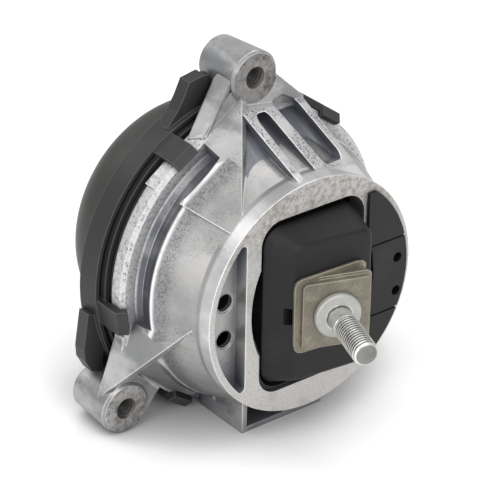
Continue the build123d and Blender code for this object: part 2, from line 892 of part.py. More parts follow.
def clip_hook():
    """One snap hook of the clip ring, drawn at the top: it passes the flange and bites behind it."""
    seat = flange_radius + clip_clearance
    tip = flange_front - clip_clearance
    outer = seat + hook_thickness
    points = [
        (band_nose_depth + hook_root, seat),
        (band_nose_depth + hook_root, outer),
        (tip, outer),
        (tip - hook_lip, seat - hook_nose),
        (tip - hook_nose, seat - hook_bite),
        (tip, seat - hook_bite),
        (tip, seat),
    ]
    outline = Plane.YZ * make_face(Polyline(*points, close=True))
    return extrude(outline, amount=hook_width / 2.0, both=True)


def clip_arm(outline):
    """Arm of the clip ring that reaches out beside an ear."""
    corners = [polar(band_radius + step, angle) for step, angle in outline]
    front = band_nose_depth + arm_start
    return slab(make_face(Polyline(*corners, close=True)), front, front + arm_thickness)


def make_clip_ring():
    """Moulded clip ring: a grooved band behind the flange, snap hooks over it, two arms beside ears."""
    seat = flange_radius + clip_clearance
    front = flange_rear + clip_clearance
    behind_flange = flange_rear + cup_flange_thickness + 2.0 * clip_clearance
    inner = cup_radius + clip_clearance
    recess = band_nose_depth + band_recess
    band = turned([
        (inner, behind_flange),
        (seat + band_seat_rise, behind_flange),
        (seat + band_seat_rise, recess),
        (band_nose_radius - band_skin, recess),
        (band_nose_radius - band_skin, band_nose_depth),
        (band_nose_radius, band_nose_depth),
        (band_radius, band_rear),
        (inner, band_rear),
    ])
    far = 2.0 * band_radius
    halfway = (90.0 - lower_ear_angle) / 2.0
    sector = [(0, 0), polar(far, -lower_ear_angle), polar(far, halfway), polar(far, 90.0)]
    outside = make_face(Polyline(*sector, close=True)) - Circle(band_right_radius)
    band -= slab(outside, front - cut_over, band_rear + cut_over)
    band -= turned([
        (inner + band_wall, band_rear - band_groove_depth),
        (band_right_radius - band_wall, band_rear - band_groove_depth),
        (band_right_radius - band_wall, band_rear + cut_over),
        (inner + band_wall, band_rear + cut_over),
    ])
    for angle in hook_angles:
        band += around(clip_hook(), angle)
    band += clip_arm(top_arm)
    band += clip_arm(low_arm)
    reach = ear_radius + arm_gap
    back = band_nose_depth + arm_start + arm_thickness + cut_over
    for angle in (90.0, -lower_ear_angle, 180.0 + lower_ear_angle):
        room = Pos(0, ear_pitch_radius) * Circle(reach) - Circle(inner + band_wall)
        channel = slab(room, front - cut_over, back)
        band -= around(channel, angle)
    return above_rest(band)


def make_parts():
    """All pieces of the mount, by name."""
    return {
        "housing": make_housing(),
        "side_pad": make_side_pad(),
        "window_lining": make_window_lining(),
        "core": make_core(),
        "stud": make_stud(),
        "stop_buffer": make_stop_buffer(),
        "spring_outer_ring": make_outer_ring(),
        "main_spring": make_main_spring(),
        "upper_channel_plate": make_upper_channel_plate(),
        "lower_channel_plate": make_lower_channel_plate(),
        "decoupler_membrane": make_membrane(),
        "bellows": make_bellows(),
        "bellows_clamp_ring": make_bellows_clamp(),
        "rear_cup": make_rear_cup(),
        "clip_ring": make_clip_ring(),
    }


for name, shape in make_parts().items():
    standing = Pos(0, -middle_depth, rest_drop) * shape
    standing.label = name
    export_step(standing, f"parts/{name}.step")
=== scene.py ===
"""Looks of a hydraulic engine mount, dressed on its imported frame.

The frame has X to the right of the front ring, Z up as the mount lies and the main axis along Y.
The stud points to -Y and the rear cup lies towards +Y. The origin is on the floor, under the
middle of the whole mount. Places below are given from the middle of the ring face.
"""

import json
import logging
from dataclasses import dataclass
from enum import Enum
from math import cos, pi, radians, sin, tau
from typing import Any, Optional, Sequence

import bpy
from mathutils import Matrix, Vector

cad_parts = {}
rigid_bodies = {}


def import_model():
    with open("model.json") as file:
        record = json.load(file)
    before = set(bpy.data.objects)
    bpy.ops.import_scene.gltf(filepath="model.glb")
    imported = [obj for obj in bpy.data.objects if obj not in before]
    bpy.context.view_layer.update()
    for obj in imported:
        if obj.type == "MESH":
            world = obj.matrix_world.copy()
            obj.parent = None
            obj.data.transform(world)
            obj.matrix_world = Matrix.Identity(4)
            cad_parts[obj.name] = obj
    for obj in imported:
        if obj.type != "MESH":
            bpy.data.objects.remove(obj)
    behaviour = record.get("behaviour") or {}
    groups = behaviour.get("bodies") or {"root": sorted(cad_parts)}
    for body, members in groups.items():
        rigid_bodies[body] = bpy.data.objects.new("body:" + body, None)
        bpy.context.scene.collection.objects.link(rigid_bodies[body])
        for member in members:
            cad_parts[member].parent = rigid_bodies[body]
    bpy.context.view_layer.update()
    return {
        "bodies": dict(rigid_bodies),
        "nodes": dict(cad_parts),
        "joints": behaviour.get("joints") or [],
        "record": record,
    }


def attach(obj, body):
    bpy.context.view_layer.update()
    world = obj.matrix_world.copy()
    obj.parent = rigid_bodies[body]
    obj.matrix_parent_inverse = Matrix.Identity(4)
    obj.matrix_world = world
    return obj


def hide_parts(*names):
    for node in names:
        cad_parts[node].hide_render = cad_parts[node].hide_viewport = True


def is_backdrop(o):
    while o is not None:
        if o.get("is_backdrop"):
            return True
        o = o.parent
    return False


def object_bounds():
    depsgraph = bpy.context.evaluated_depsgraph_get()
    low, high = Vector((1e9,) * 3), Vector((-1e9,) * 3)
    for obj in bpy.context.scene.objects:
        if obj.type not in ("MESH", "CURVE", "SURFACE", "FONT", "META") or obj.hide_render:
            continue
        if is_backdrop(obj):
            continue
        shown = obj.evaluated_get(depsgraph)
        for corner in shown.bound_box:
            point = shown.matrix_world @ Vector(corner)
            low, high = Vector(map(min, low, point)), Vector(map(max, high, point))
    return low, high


log = logging.getLogger("engine_mount")

Point = tuple[float, float, float]
Colour = tuple[float, float, float, float]
MM = 0.001
# Points nearer to each other than this are one
POINT_MERGE = 1e-6

# Middle of the ring face in the frame
RING_MIDDLE: Point = (0.0, -29.768 * MM, 68.702 * MM)
# Where the axes of the ears stand: angles in degrees and distance from the main axis
EAR_ANGLES = (90.0, 218.0, 322.0)
EAR_AXIS_RADIUS = 90.8 * MM
# Front of the ribs under the top ear: depth in mm at the main axis, and mm per mm to the right and up
RIB_FRONT = (-104.5, 0.3216, 1.9)
# Turn of the stud to the left of the main axis, in degrees
STUD_TURN = 19.4


def grey(level: float, warm: float = 0.0) -> Colour:
    """A linear grey, made warmer by a small share."""
    return (level * (1.0 + warm), level, level * (1.0 - warm), 1.0)


def in_metres(points: Sequence[Point]) -> list[Point]:
    """Points given in millimetres, in metres."""
    return [(x * MM, y * MM, z * MM) for x, y, z in points]


class Value:
    """A number on a socket, with the arithmetic written as Python expressions."""

    def __init__(self, shader: "Shader", socket: Any) -> None:
        """Wraps one socket of a shader's tree.

        Args:
            shader: The tree that new nodes go into.
            socket: The output socket that gives the number.
        """
        self.shader = shader
        self.socket = socket

    def _math(self, operation: str, first: Any, second: Any = None) -> "Value":
        """One Math node.

        Args:
            operation: The node's operation.
            first: Its first input.
            second: Its second input, if it has one.

        Returns:
            The node's result.
        """
        inputs = {0: first} if second is None else {0: first, 1: second}
        return self.shader.node("ShaderNodeMath", {"operation": operation}, inputs)

    def __add__(self, other: Any) -> "Value":
        """Sum."""
        return self._math("ADD", self, other)

    __radd__ = __add__

    def __sub__(self, other: Any) -> "Value":
        """Difference."""
        return self._math("SUBTRACT", self, other)

    def __rsub__(self, other: Any) -> "Value":
        """Difference from a plain number."""
        return self._math("SUBTRACT", other, self)

    def __mul__(self, other: Any) -> "Value":
        """Product."""
        return self._math("MULTIPLY", self, other)

    __rmul__ = __mul__

    def __gt__(self, other: Any) -> "Value":
        """1 where the value is greater."""
        return self._math("GREATER_THAN", self, other)

    def __lt__(self, other: Any) -> "Value":
        """1 where the value is smaller."""
        return self._math("LESS_THAN", self, other)

    def root(self) -> "Value":
        """Its square root."""
        return self._math("SQRT", self)

    def clamp(self) -> "Value":
        """The value held between 0 and 1."""
        return self.shader.node("ShaderNodeClamp", {}, {"Value": self})


class Shader:
    """Node tree of one material."""

    def __init__(self, name: str) -> None:
        """Starts a material with a Principled shader.

        Args:
            name: The material's name.
        """
        self.material = bpy.data.materials.new(name)
        self.material.use_nodes = True
        self.tree = self.material.node_tree
        self.surface = self.tree.nodes["Principled BSDF"]
        place = self.node("ShaderNodeTexCoord", {}, {}, "Object")
        back = tuple(-part for part in RING_MIDDLE)
        self.place = self.node("ShaderNodeMapping", {}, {"Vector": place, "Location": back})

    def node(
        self, kind: str, settings: dict[str, Any], inputs: dict[Any, Any], output: Any = 0,
    ) -> Value:
        """Adds one node.

        Args:
            kind: The node's type.
            settings: Properties that are set first, or a ramp's stops under "stops".
            inputs: Values or links of its sockets, by name or place.
            output: Which output to return.

        Returns:
            The chosen output.
        """
        made = self.tree.nodes.new(kind)
        for key, setting in settings.items():
            if key == "stops":
                self._stops(made, setting)
            else:
                setattr(made, key, setting)
        for key, given in inputs.items():
            socket = made.inputs[key]
            if isinstance(given, Value):
                self.tree.links.new(given.socket, socket)
            else:
                socket.default_value = given
        return Value(self, made.outputs[output])

    def _stops(self, ramp: Any, stops: Sequence[tuple[float, Colour]]) -> None:
        """Sets the stops of a colour ramp."""
        elements = ramp.color_ramp.elements
        while len(elements) < len(stops):
            elements.new(0.5)
        for element, (place, colour) in zip(elements, stops):
            element.position = place
            element.color = colour

    def noise(
        self, scale: float, detail: float = 3.0, rough: float = 0.55, stretch: Point = (1, 1, 1),
    ) -> Value:
        """Noise over Object coordinates.

        Args:
            scale: Size of the pattern, per metre.
            detail: Number of finer layers.
            rough: Weight of the finer layers.
            stretch: Scale of the pattern along each axis.

        Returns:
            The noise, between 0 and 1.
        """
        place = self.node("ShaderNodeMapping", {}, {"Vector": self.place, "Scale": stretch})
        return self.node("ShaderNodeTexNoise", {}, {
            "Vector": place, "Scale": scale, "Detail": detail, "Roughness": rough,
        })

    def ramp(self, factor: Value, stops: Sequence[tuple[float, Colour]]) -> Value:
        """A colour ramp."""
        return self.node("ShaderNodeValToRGB", {"stops": stops}, {"Fac": factor})

    def step(self, factor: Value, low: float, high: float) -> Value:
        """A smooth step from 0 at low to 1 at high."""
        return self.node("ShaderNodeMapRange", {"interpolation_type": "SMOOTHSTEP"}, {
            "Value": factor, "From Min": low, "From Max": high,
        })

    def mix(self, factor: Any, first: Any, second: Any) -> Value:
        """A mix of two colours."""
        return self.node("ShaderNodeMix", {"data_type": "RGBA"}, {0: factor, 6: first, 7: second}, 2)

    def axis(self, index: int) -> Value:
        """One Object coordinate, in metres."""
        return self.node("ShaderNodeSeparateXYZ", {}, {"Vector": self.place}, index)

    def facing(self, index: int) -> Value:
        """One part of the surface normal."""
        normal = self.node("ShaderNodeTexCoord", {}, {}, "Normal")
        return self.node("ShaderNodeSeparateXYZ", {}, {"Vector": normal}, index)

    def rounded(self, radius: float) -> Value:
        """Normal of softly rounded edges."""
        return self.node("ShaderNodeBevel", {"samples": 6}, {"Radius": radius})

    def openness(self, distance: float) -> Value:
        """1 on open surfaces, 0 deep in a hollow."""
        return self.node("ShaderNodeAmbientOcclusion", {"samples": 8}, {"Distance": distance}, "AO")

    def edges(self, rounded: Value) -> Value:
        """1 on the edges that the rounded normal softens, 0 on plain surfaces."""
        normal = self.node("ShaderNodeTexCoord", {}, {}, "Normal")
        product = {"operation": "DOT_PRODUCT"}
        along = self.node("ShaderNodeVectorMath", product, {0: rounded, 1: normal}, "Value")
        return self.step(1.0 - along, 0.015, 0.14)

    def radius(self) -> Value:
        """Distance from the main axis, in metres."""
        across = self.axis(0)
        up = self.axis(2)
        return (across * across + up * up).root()

    def bump(
        self, height: Value, distance: float, strength: float, normal: Optional[Value] = None,
    ) -> Value:
        """Normal of a height pattern, on another normal if one is given."""
        inputs: dict[Any, Any] = {"Height": height, "Distance": distance, "Strength": strength}
        if normal is not None:
            inputs["Normal"] = normal
        return self.node("ShaderNodeBump", {}, inputs)

    def set(self, **sockets: Any) -> None:
        """Sets or links the surface's sockets; an underscore stands for a space."""
        for key, given in sockets.items():
            socket = self.surface.inputs[key.replace("_", " ")]
            if isinstance(given, Value):
                self.tree.links.new(given.socket, socket)
            else:
                socket.default_value = given


@dataclass(frozen=True)
class Stain:
    """A tone that covers a surface where a pattern is high.

    Args:
        tone: The colour laid on.
        start: Value of the pattern where it starts.
        full: Value of the pattern where it covers most.
        share: How much the pattern adds to the cover.
        ground: Cover where the pattern is low.
    """

    tone: Colour
    start: float
    full: float
    share: float = 1.0
    ground: float = 0.0

    def over(self, shader: Shader, colour: Any, pattern: Value, zone: Optional[Value] = None) -> Value:
        """Lays the tone on a colour.

        Args:
            shader: The material's tree.
            colour: The colour beneath.
            pattern: The pattern that the tone follows.
            zone: Where the tone shows at all, everywhere if it isn't given.

        Returns:
            The stained colour.
        """
        cover = shader.step(pattern, self.start, self.full) * self.share
        if self.ground > 0.0:
            cover = cover + self.ground
        if zone is not None:
            cover = cover * zone
        return shader.mix(cover, colour, self.tone)


@dataclass(frozen=True)
class CastMasks:
    """Where the ring's face, the ears' front faces, the flange's rim and the ears' bores are."""

    ring: Value
    ears: Value
    rim: Value
    bores: Value


@dataclass(frozen=True)
class CastZones:
    """Where the walls change: before the flange, on the cone and under the top ear."""

    valley_dark_reflection: Value
    ridge_highlight: Value
    cone: Value
    cone_rear_dark_reflection: Value
    ring_side_highlight: Value
    rib_tops: Value
    pockets: Value
    pocket_cone_shade: Value
    web: Value


@dataclass(frozen=True)
class CastPatterns:
    """Noise patterns that the casting's surfaces share."""

    cloud: Value
    smudge_and_reflection: Value
    grain: Value
    specks: Value
    fine: Value
    patches: Value
    mottle: Value
    streak: Value
    drawn: Value


# Grey levels of the casting's walls and of its ring face, the tone of its painted shade and painted
# dark reflections, and the tone of its painted highlights
WALL_TONE = 0.47
FACE_TONE = 0.50
CAST_SHADE: Colour = (0.085, 0.090, 0.110, 1.0)
CAST_HIGHLIGHT: Colour = (0.95, 0.95, 0.95, 1.0)


@dataclass(frozen=True)
class CastAluminium:
    """Die-cast aluminium: satin walls, painted shade in hollows, painted highlights on edges and a
    rough speckled ring face.

    Lengths are distances from the middle of the ring face: a front or rear along the main axis, a
    radius away from it.
    """

    facing_front: float = -0.9
    ring_front: float = 0.6 * MM
    # Painted highlight on the side of the ring near its front: where it fades and how strong it is
    ring_side_highlight: tuple[float, float] = (6.5 * MM, 8.0 * MM)
    ring_side_highlight_share: float = 0.3
    ring_upper: tuple[float, float] = (20.0 * MM, 44.0 * MM)
    ear_front: float = 43.8 * MM
    ear_zone: float = 12.4 * MM
    bore_zone: float = 5.3 * MM
    # Painted shade inside the ears' bores, and how much of it
    bore_shade: Colour = grey(0.06, 0.08)
    bore_shade_share: float = 0.85
    rim_front: float = 43.2 * MM
    rim_zone: float = 75.0 * MM
    rim_share: float = 0.75

    ridge_front: tuple[float, float] = (30.6 * MM, 32.2 * MM)
    ridge_radii: tuple[float, float] = (64.0 * MM, 68.0 * MM)
    valley_front: tuple[float, float] = (32.9 * MM, 34.2 * MM)
    valley_rear: tuple[float, float] = (42.6 * MM, 43.2 * MM)
    valley_radius: float = 67.6 * MM
    cone_start: float = 57.0 * MM
    cone_growth: float = 0.369
    cone_span: tuple[float, float] = (7.0 * MM, 31.0 * MM)
    cone_tone: Colour = grey(WALL_TONE * 0.74, 0.02)
    cone_share: float = 0.75
    # How much fainter the smudges and painted dark reflections are on the cone
    cone_smudge_and_reflection_cut: float = 0.5
    cone_rear_start: tuple[float, float] = (21.0 * MM, 27.0 * MM)
    cone_rear_end: tuple[float, float] = (30.0 * MM, 31.0 * MM)

    rib_left: float = -11.0 * MM
    rib_low: float = 55.0 * MM
    rib_rear: float = 41.0 * MM
    rib_radius: float = 58.5 * MM
    rib_top_depth: float = 0.5 * MM
    rib_top_tone: Colour = grey(WALL_TONE * 1.25)
    rib_top_share: float = 0.6
    pocket_cone_start: float = 55.0 * MM
    web_front: float = 43.5 * MM
    web_right: float = -8.6 * MM
    web_low: float = 66.0 * MM
    boss_radius: float = 96.0 * MM

    # Dark smudges over the walls, partly dirt and partly painted dark reflections
    smudge_and_reflection: Stain = Stain(grey(WALL_TONE * 0.36, -0.03), 0.45, 0.61, 0.68)
    # Painted dark reflection: a speckled dark band on the cone just before the ridge
    cone_rear_dark_reflection: Stain = Stain(CAST_SHADE, 0.46, 0.60, 0.5, 0.25)
    pits: Stain = Stain(grey(WALL_TONE * 0.24, 0.01), 0.50, 0.62, 0.45)
    pit_patches: tuple[float, float] = (0.48, 0.62)
    # Painted dark reflection in streaks over the valley before the flange
    valley_dark_reflection: Stain = Stain(CAST_SHADE, 0.36, 0.56, 0.55, 0.35)
    # Painted highlight in streaks along the ridge before the valley
    ridge_highlight: Stain = Stain(CAST_HIGHLIGHT, 0.30, 0.50, 0.8)
    rib_spots: Stain = Stain(grey(WALL_TONE * 0.22), 0.50, 0.58, 0.85)
    rib_patches: tuple[float, float] = (0.42, 0.54)
    # Painted shade between the ribs, varied by drawn streaks
    pocket_shade: Stain = Stain(CAST_SHADE, 0.35, 0.65, 0.4, 0.55)
    pocket_cone_shade: Stain = Stain(CAST_SHADE, 0.40, 0.62, 0.4, 0.25)
    face_patches: Stain = Stain(grey(FACE_TONE * 0.50, 0.10), 0.50, 0.72)
    face_patch_shares: tuple[float, float] = (0.3, 0.4)
    face_specks: Stain = Stain(grey(FACE_TONE * 0.26, 0.08), 0.52, 0.62, 0.6)
    face_mottle: Stain = Stain(grey(FACE_TONE * 0.40, 0.13), 0.44, 0.62, 0.6)
    boss_tone: Colour = grey(FACE_TONE * 0.46, 0.02)
    boss_mottle: Stain = Stain(grey(FACE_TONE * 0.20, 0.06), 0.40, 0.62)
    boss_patches: Stain = Stain(grey(FACE_TONE * 0.66, 0.03), 0.45, 0.62, 0.5)
    low_boss_tone: Colour = grey(FACE_TONE * 0.86, 0.03)
    low_boss_mottle: tuple[float, float] = (0.36, 0.60)
    low_boss_share: float = 0.75

    # Painted shade: tone laid into the hollows that the ambient occlusion finds
    hollow_shade: Colour = (0.100, 0.104, 0.118, 1.0)
    hollow_reach: float = 15.0 * MM
    hollow_range: tuple[float, float] = (0.22, 0.86)
    # Rounding of the edges, and where and how strongly the painted edge highlight shows on them
    edge_radius: float = 0.8 * MM
    edge_range: tuple[float, float] = (0.45, 0.8)
    edge_share: float = 0.95

    def masks(self, shader: Shader) -> CastMasks:
        """Finds the faces that have a finish of their own.

        Args:
            shader: The material's tree.

        Returns:
            The masks, each 0 or 1.
        """
        depth = shader.axis(1)
        across = shader.axis(0)
        up = shader.axis(2)
        flat = shader.facing(1) < self.facing_front
        reach = []
        for angle in EAR_ANGLES:
            side = across - EAR_AXIS_RADIUS * cos(radians(angle))
            rise = up - EAR_AXIS_RADIUS * sin(radians(angle))
            reach.append((side * side + rise * rise).root())
        near_ears = sum(distance < self.ear_zone for distance in reach)
        return CastMasks(
            ring=flat * (depth < self.ring_front),
            ears=flat * (depth < self.ear_front) * near_ears,
            rim=(depth > self.rim_front) * (shader.radius() < self.rim_zone),
            bores=sum(distance < self.bore_zone for distance in reach),
        )

    def zones(self, shader: Shader) -> CastZones:
        """Finds where the walls change.

        Args:
            shader: The material's tree.

        Returns:
            The zones, each 0 to 1.
        """
        across = shader.axis(0)
        depth = shader.axis(1)
        up = shader.axis(2)
        radius = shader.radius()
        behind_ridge = shader.step(depth, *self.valley_front)
        # Band of the valley that takes the painted dark reflection
        valley_dark_reflection = behind_ridge * (1.0 - shader.step(depth, *self.valley_rear))
        # Band along the ridge that takes the painted highlight
        ridge_highlight = shader.step(depth, *self.ridge_front) * (1.0 - behind_ridge)
        ridge_highlight = ridge_highlight * (radius > self.ridge_radii[0]) * (radius < self.ridge_radii[1])
        cone = radius < depth * self.cone_growth + self.cone_start
        cone = cone * (depth < self.cone_span[1]) * (depth > self.cone_span[0])
        rear = shader.step(depth, *self.cone_rear_start)
        rear = rear * (1.0 - shader.step(depth, *self.cone_rear_end))
        ribs = (across > self.rib_left) * (up > self.rib_low) * (depth < self.rib_rear)
        ribs = ribs * (radius > self.rib_radius)
        start, right_share, up_share = RIB_FRONT
        below = depth - start * MM - across * right_share - up * up_share
        deep = below > self.rib_top_depth
        on_cone = radius < depth * self.cone_growth + self.pocket_cone_start
        web = (depth > self.web_front) * (across < self.web_right) * (up > self.web_low)
        boss = (shader.facing(1) < self.facing_front) * (radius > self.boss_radius)
        return CastZones(
            valley_dark_reflection=valley_dark_reflection * (radius < self.valley_radius),
            ridge_highlight=ridge_highlight,
            cone=cone,
            cone_rear_dark_reflection=rear * cone,
            ring_side_highlight=1.0 - shader.step(depth, *self.ring_side_highlight),
            rib_tops=ribs * (below < self.rib_top_depth),
            pockets=ribs * deep * (1.0 - on_cone),
            pocket_cone_shade=ribs * deep * on_cone,
            web=web * (1.0 - boss),
        )

    def patterns(self, shader: Shader) -> CastPatterns:
        """Makes the noise patterns.

        Args:
            shader: The material's tree.

        Returns:
            The patterns, each 0 to 1.
        """
        return CastPatterns(
            cloud=shader.noise(42.0, 4.0, 0.6),
            smudge_and_reflection=shader.noise(38.0, 5.0, 0.62, (1.0, 0.45, 1.0)),
            grain=shader.noise(1100.0, 3.0, 0.7),
            specks=shader.noise(620.0, 3.0, 0.75),
            fine=shader.noise(1000.0, 4.0, 0.7),
            patches=shader.noise(75.0, 3.0, 0.6),
            mottle=shader.noise(330.0, 4.0, 0.7),
            streak=shader.noise(30.0, 5.0, 0.65, (1.0, 0.3, 1.0)),
            drawn=shader.noise(90.0, 3.0, 0.6, (1.6, 0.25, 0.25)),
        )

    def walls(self, shader: Shader, noise: CastPatterns, zones: CastZones) -> Value:
        """Colour of the walls, from the cone to the ribs, with smudges, painted dark reflections,
        painted highlights and painted shade between the ribs.

        Args:
            shader: The material's tree.
            noise: The patterns.
            zones: Where the walls change.

        Returns:
            The colour.
        """
        colour = shader.ramp(noise.cloud, [
            (0.28, grey(WALL_TONE * 0.78, -0.01)),
            (0.72, grey(WALL_TONE * 1.16, 0.01)),
        ])
        colour = shader.mix(zones.cone * self.cone_share, colour, self.cone_tone)
        # Smudges, partly painted dark reflections, fainter on the cone
        colour = self.smudge_and_reflection.over(shader, colour, noise.smudge_and_reflection, 1.0 - zones.cone * self.cone_smudge_and_reflection_cut)
        # Painted dark reflection on the cone before the ridge
        colour = self.cone_rear_dark_reflection.over(shader, colour, noise.grain, zones.cone_rear_dark_reflection)
        pitted = shader.step(noise.patches, *self.pit_patches)
        colour = self.pits.over(shader, colour, noise.fine, pitted)
        # Painted dark reflection in the valley
        colour = self.valley_dark_reflection.over(shader, colour, noise.streak, zones.valley_dark_reflection)
        # Painted highlight along the ridge
        colour = self.ridge_highlight.over(shader, colour, noise.streak, zones.ridge_highlight)
        colour = shader.mix(zones.rib_tops * self.rib_top_share, colour, self.rib_top_tone)
        spotted = zones.rib_tops * shader.step(noise.patches, *self.rib_patches)
        colour = self.rib_spots.over(shader, colour, noise.grain, spotted)
        # Painted shade in the pockets between the ribs and on the cone between them
        colour = self.pocket_shade.over(shader, colour, noise.drawn, zones.pockets)
        colour = self.pocket_cone_shade.over(shader, colour, noise.drawn, zones.pocket_cone_shade)
        # Painted highlight on the ring's side near its front
        return shader.mix(zones.ring_side_highlight * self.ring_side_highlight_share, colour, CAST_HIGHLIGHT)

    def ring_face(self, shader: Shader, noise: CastPatterns) -> Value:
        """Colour of the ring's face, browner and more speckled in its upper half.

        Args:
            shader: The material's tree.
            noise: The patterns.

        Returns:
            The colour.
        """
        colour = shader.ramp(noise.fine, [
            (0.26, grey(FACE_TONE * 0.60, 0.06)),
            (0.42, grey(FACE_TONE * 0.98, 0.035)),
            (0.66, grey(FACE_TONE * 1.22, 0.015)),
        ])
        upper = shader.step(shader.axis(2), *self.ring_upper)
        everywhere, added = self.face_patch_shares
        colour = self.face_patches.over(shader, colour, noise.patches, everywhere + upper * added)
        colour = self.face_specks.over(shader, colour, noise.fine, upper)
        return self.face_mottle.over(shader, colour, noise.mottle, upper)

    def ear_faces(self, shader: Shader, noise: CastPatterns) -> Value:
        """Colour of the ears' front faces, paler on the lower ears.

        Args:
            shader: The material's tree.
            noise: The patterns.

        Returns:
            The colour.
        """
        colour = self.boss_mottle.over(shader, self.boss_tone, noise.mottle)
        colour = self.boss_patches.over(shader, colour, noise.patches)
        spread = shader.step(noise.mottle, *self.low_boss_mottle) * self.low_boss_share
        lower = shader.mix(spread, self.low_boss_tone, colour)
        return shader.mix(shader.axis(2) < 0.0, colour, lower)

    def build(self) -> bpy.types.Material:
        """Builds the material."""
        shader = Shader("cast_aluminium")
        masks = self.masks(shader)
        zones = self.zones(shader)
        noise = self.patterns(shader)
        rough_rim = shader.ramp(noise.specks, [
            (0.34, grey(WALL_TONE * 0.40)),
            (0.46, grey(WALL_TONE * 1.30)),
            (0.70, grey(WALL_TONE * 1.62)),
        ])
        colour = self.walls(shader, noise, zones)
        colour = shader.mix(masks.rim * self.rim_share, colour, rough_rim)
        colour = shader.mix(masks.ring, colour, self.ring_face(shader, noise))
        colour = shader.mix(masks.ears, colour, self.ear_faces(shader, noise))
        open_share = shader.step(shader.openness(self.hollow_reach), *self.hollow_range)
        # Painted shade in the hollows, by ambient occlusion
        colour = shader.mix(open_share, self.hollow_shade, colour)
        # Painted shade in the bores
        colour = shader.mix(masks.bores * self.bore_shade_share, colour, self.bore_shade)
        rounded = shader.rounded(self.edge_radius)
        # Painted highlight on open edges, also standing for wear
        wear_and_painted_light = shader.edges(rounded) * shader.step(open_share, *self.edge_range)
        wear_and_painted_light = wear_and_painted_light * (1.0 - zones.web) * (1.0 - masks.bores)
        colour = shader.mix(wear_and_painted_light * self.edge_share, colour, CAST_HIGHLIGHT)
        coarse = (masks.ring + masks.rim * 0.8).clamp()
        height = noise.grain * (0.22 + coarse * 0.6) + noise.specks * coarse * 0.6 + noise.cloud * 0.5
        roughness = 0.33 + coarse * 0.22 + noise.grain * 0.10 + noise.cloud * 0.10 - wear_and_painted_light * 0.12
        shader.set(
            Base_Color=colour,
            Metallic=(0.30 + open_share * 0.56).clamp(),
            Roughness=roughness.clamp(),
            Normal=shader.bump(height, 0.00025, 0.45, rounded),
        )
        return shader.material


@dataclass(frozen=True)
class CastHollowShade:
    """The same casting deep between ribs, painted dark blue-grey as shade, with drawn streaks and the
    painted shade lifting towards a paler foot.
    """

    # Painted shade deep between the ribs, and the paler tone of the streaks and of the foot
    dark: Colour = (0.070, 0.074, 0.092, 1.0)
    streak_and_lit_foot_tone: Colour = (0.230, 0.235, 0.260, 1.0)
    lit_foot_end: tuple[float, float] = (60.0 * MM, 70.0 * MM)

    def build(self) -> bpy.types.Material:
        """Builds the material."""
        shader = Shader("cast_hollow_shade")
        drawn = shader.noise(110.0, 4.0, 0.6, (1.5, 0.22, 0.22))
        cloud = shader.noise(60.0, 3.0, 0.6)
        # Painted shade lifts towards the lower end, where the hollow opens
        low = 1.0 - shader.step(shader.axis(2), *self.lit_foot_end)
        wear_and_painted_light = (shader.step(drawn, 0.42, 0.70) * 0.55 + low * 0.5).clamp()
        colour = shader.mix(wear_and_painted_light, self.dark, self.streak_and_lit_foot_tone)
        normal = shader.bump(cloud + drawn * 0.5, 0.0002, 0.4)
        roughness = (0.34 + cloud * 0.2).clamp()
        shader.set(Base_Color=colour, Metallic=0.55, Roughness=roughness, Normal=normal)
        return shader.material


@dataclass(frozen=True)
class Moulded:
    """Moulded rubber or plastic: dark and fine-grained, with dusty patches and a painted highlight on
    its edges.
    """

    name: str
    colour: Colour
    roughness: float
    grain: float
    dust: float
    # Painted highlight on the edges
    edge: Colour = (0.040, 0.039, 0.037, 1.0)
    edge_radius: float = 0.6 * MM
    specular: float = 0.32
    dust_gain: float = 1.9
    dust_lift: float = 0.010

    def build(self) -> bpy.types.Material:
        """Builds the material."""
        shader = Shader(self.name)
        cloud = shader.noise(38.0, 4.0, 0.6)
        fine = shader.noise(1500.0, 2.0, 0.6)
        parts = (min(1.0, part * self.dust_gain + self.dust_lift) for part in self.colour[:3])
        light = tuple(parts) + (1.0,)
        dusty = shader.step(cloud, 0.45, 0.85) * self.dust
        colour = shader.mix(dusty, self.colour, light)
        rounded = shader.rounded(self.edge_radius)
        # Painted highlight on the rounded edges
        colour = shader.mix(shader.edges(rounded) * 0.8, colour, self.edge)
        normal = shader.bump(fine + cloud * 0.6, 0.0001, self.grain, rounded)
        shader.set(
            Base_Color=colour,
            Roughness=(self.roughness + cloud * 0.12 - 0.06).clamp(),
            Specular_IOR_Level=self.specular,
            Normal=normal,
        )
        return shader.material


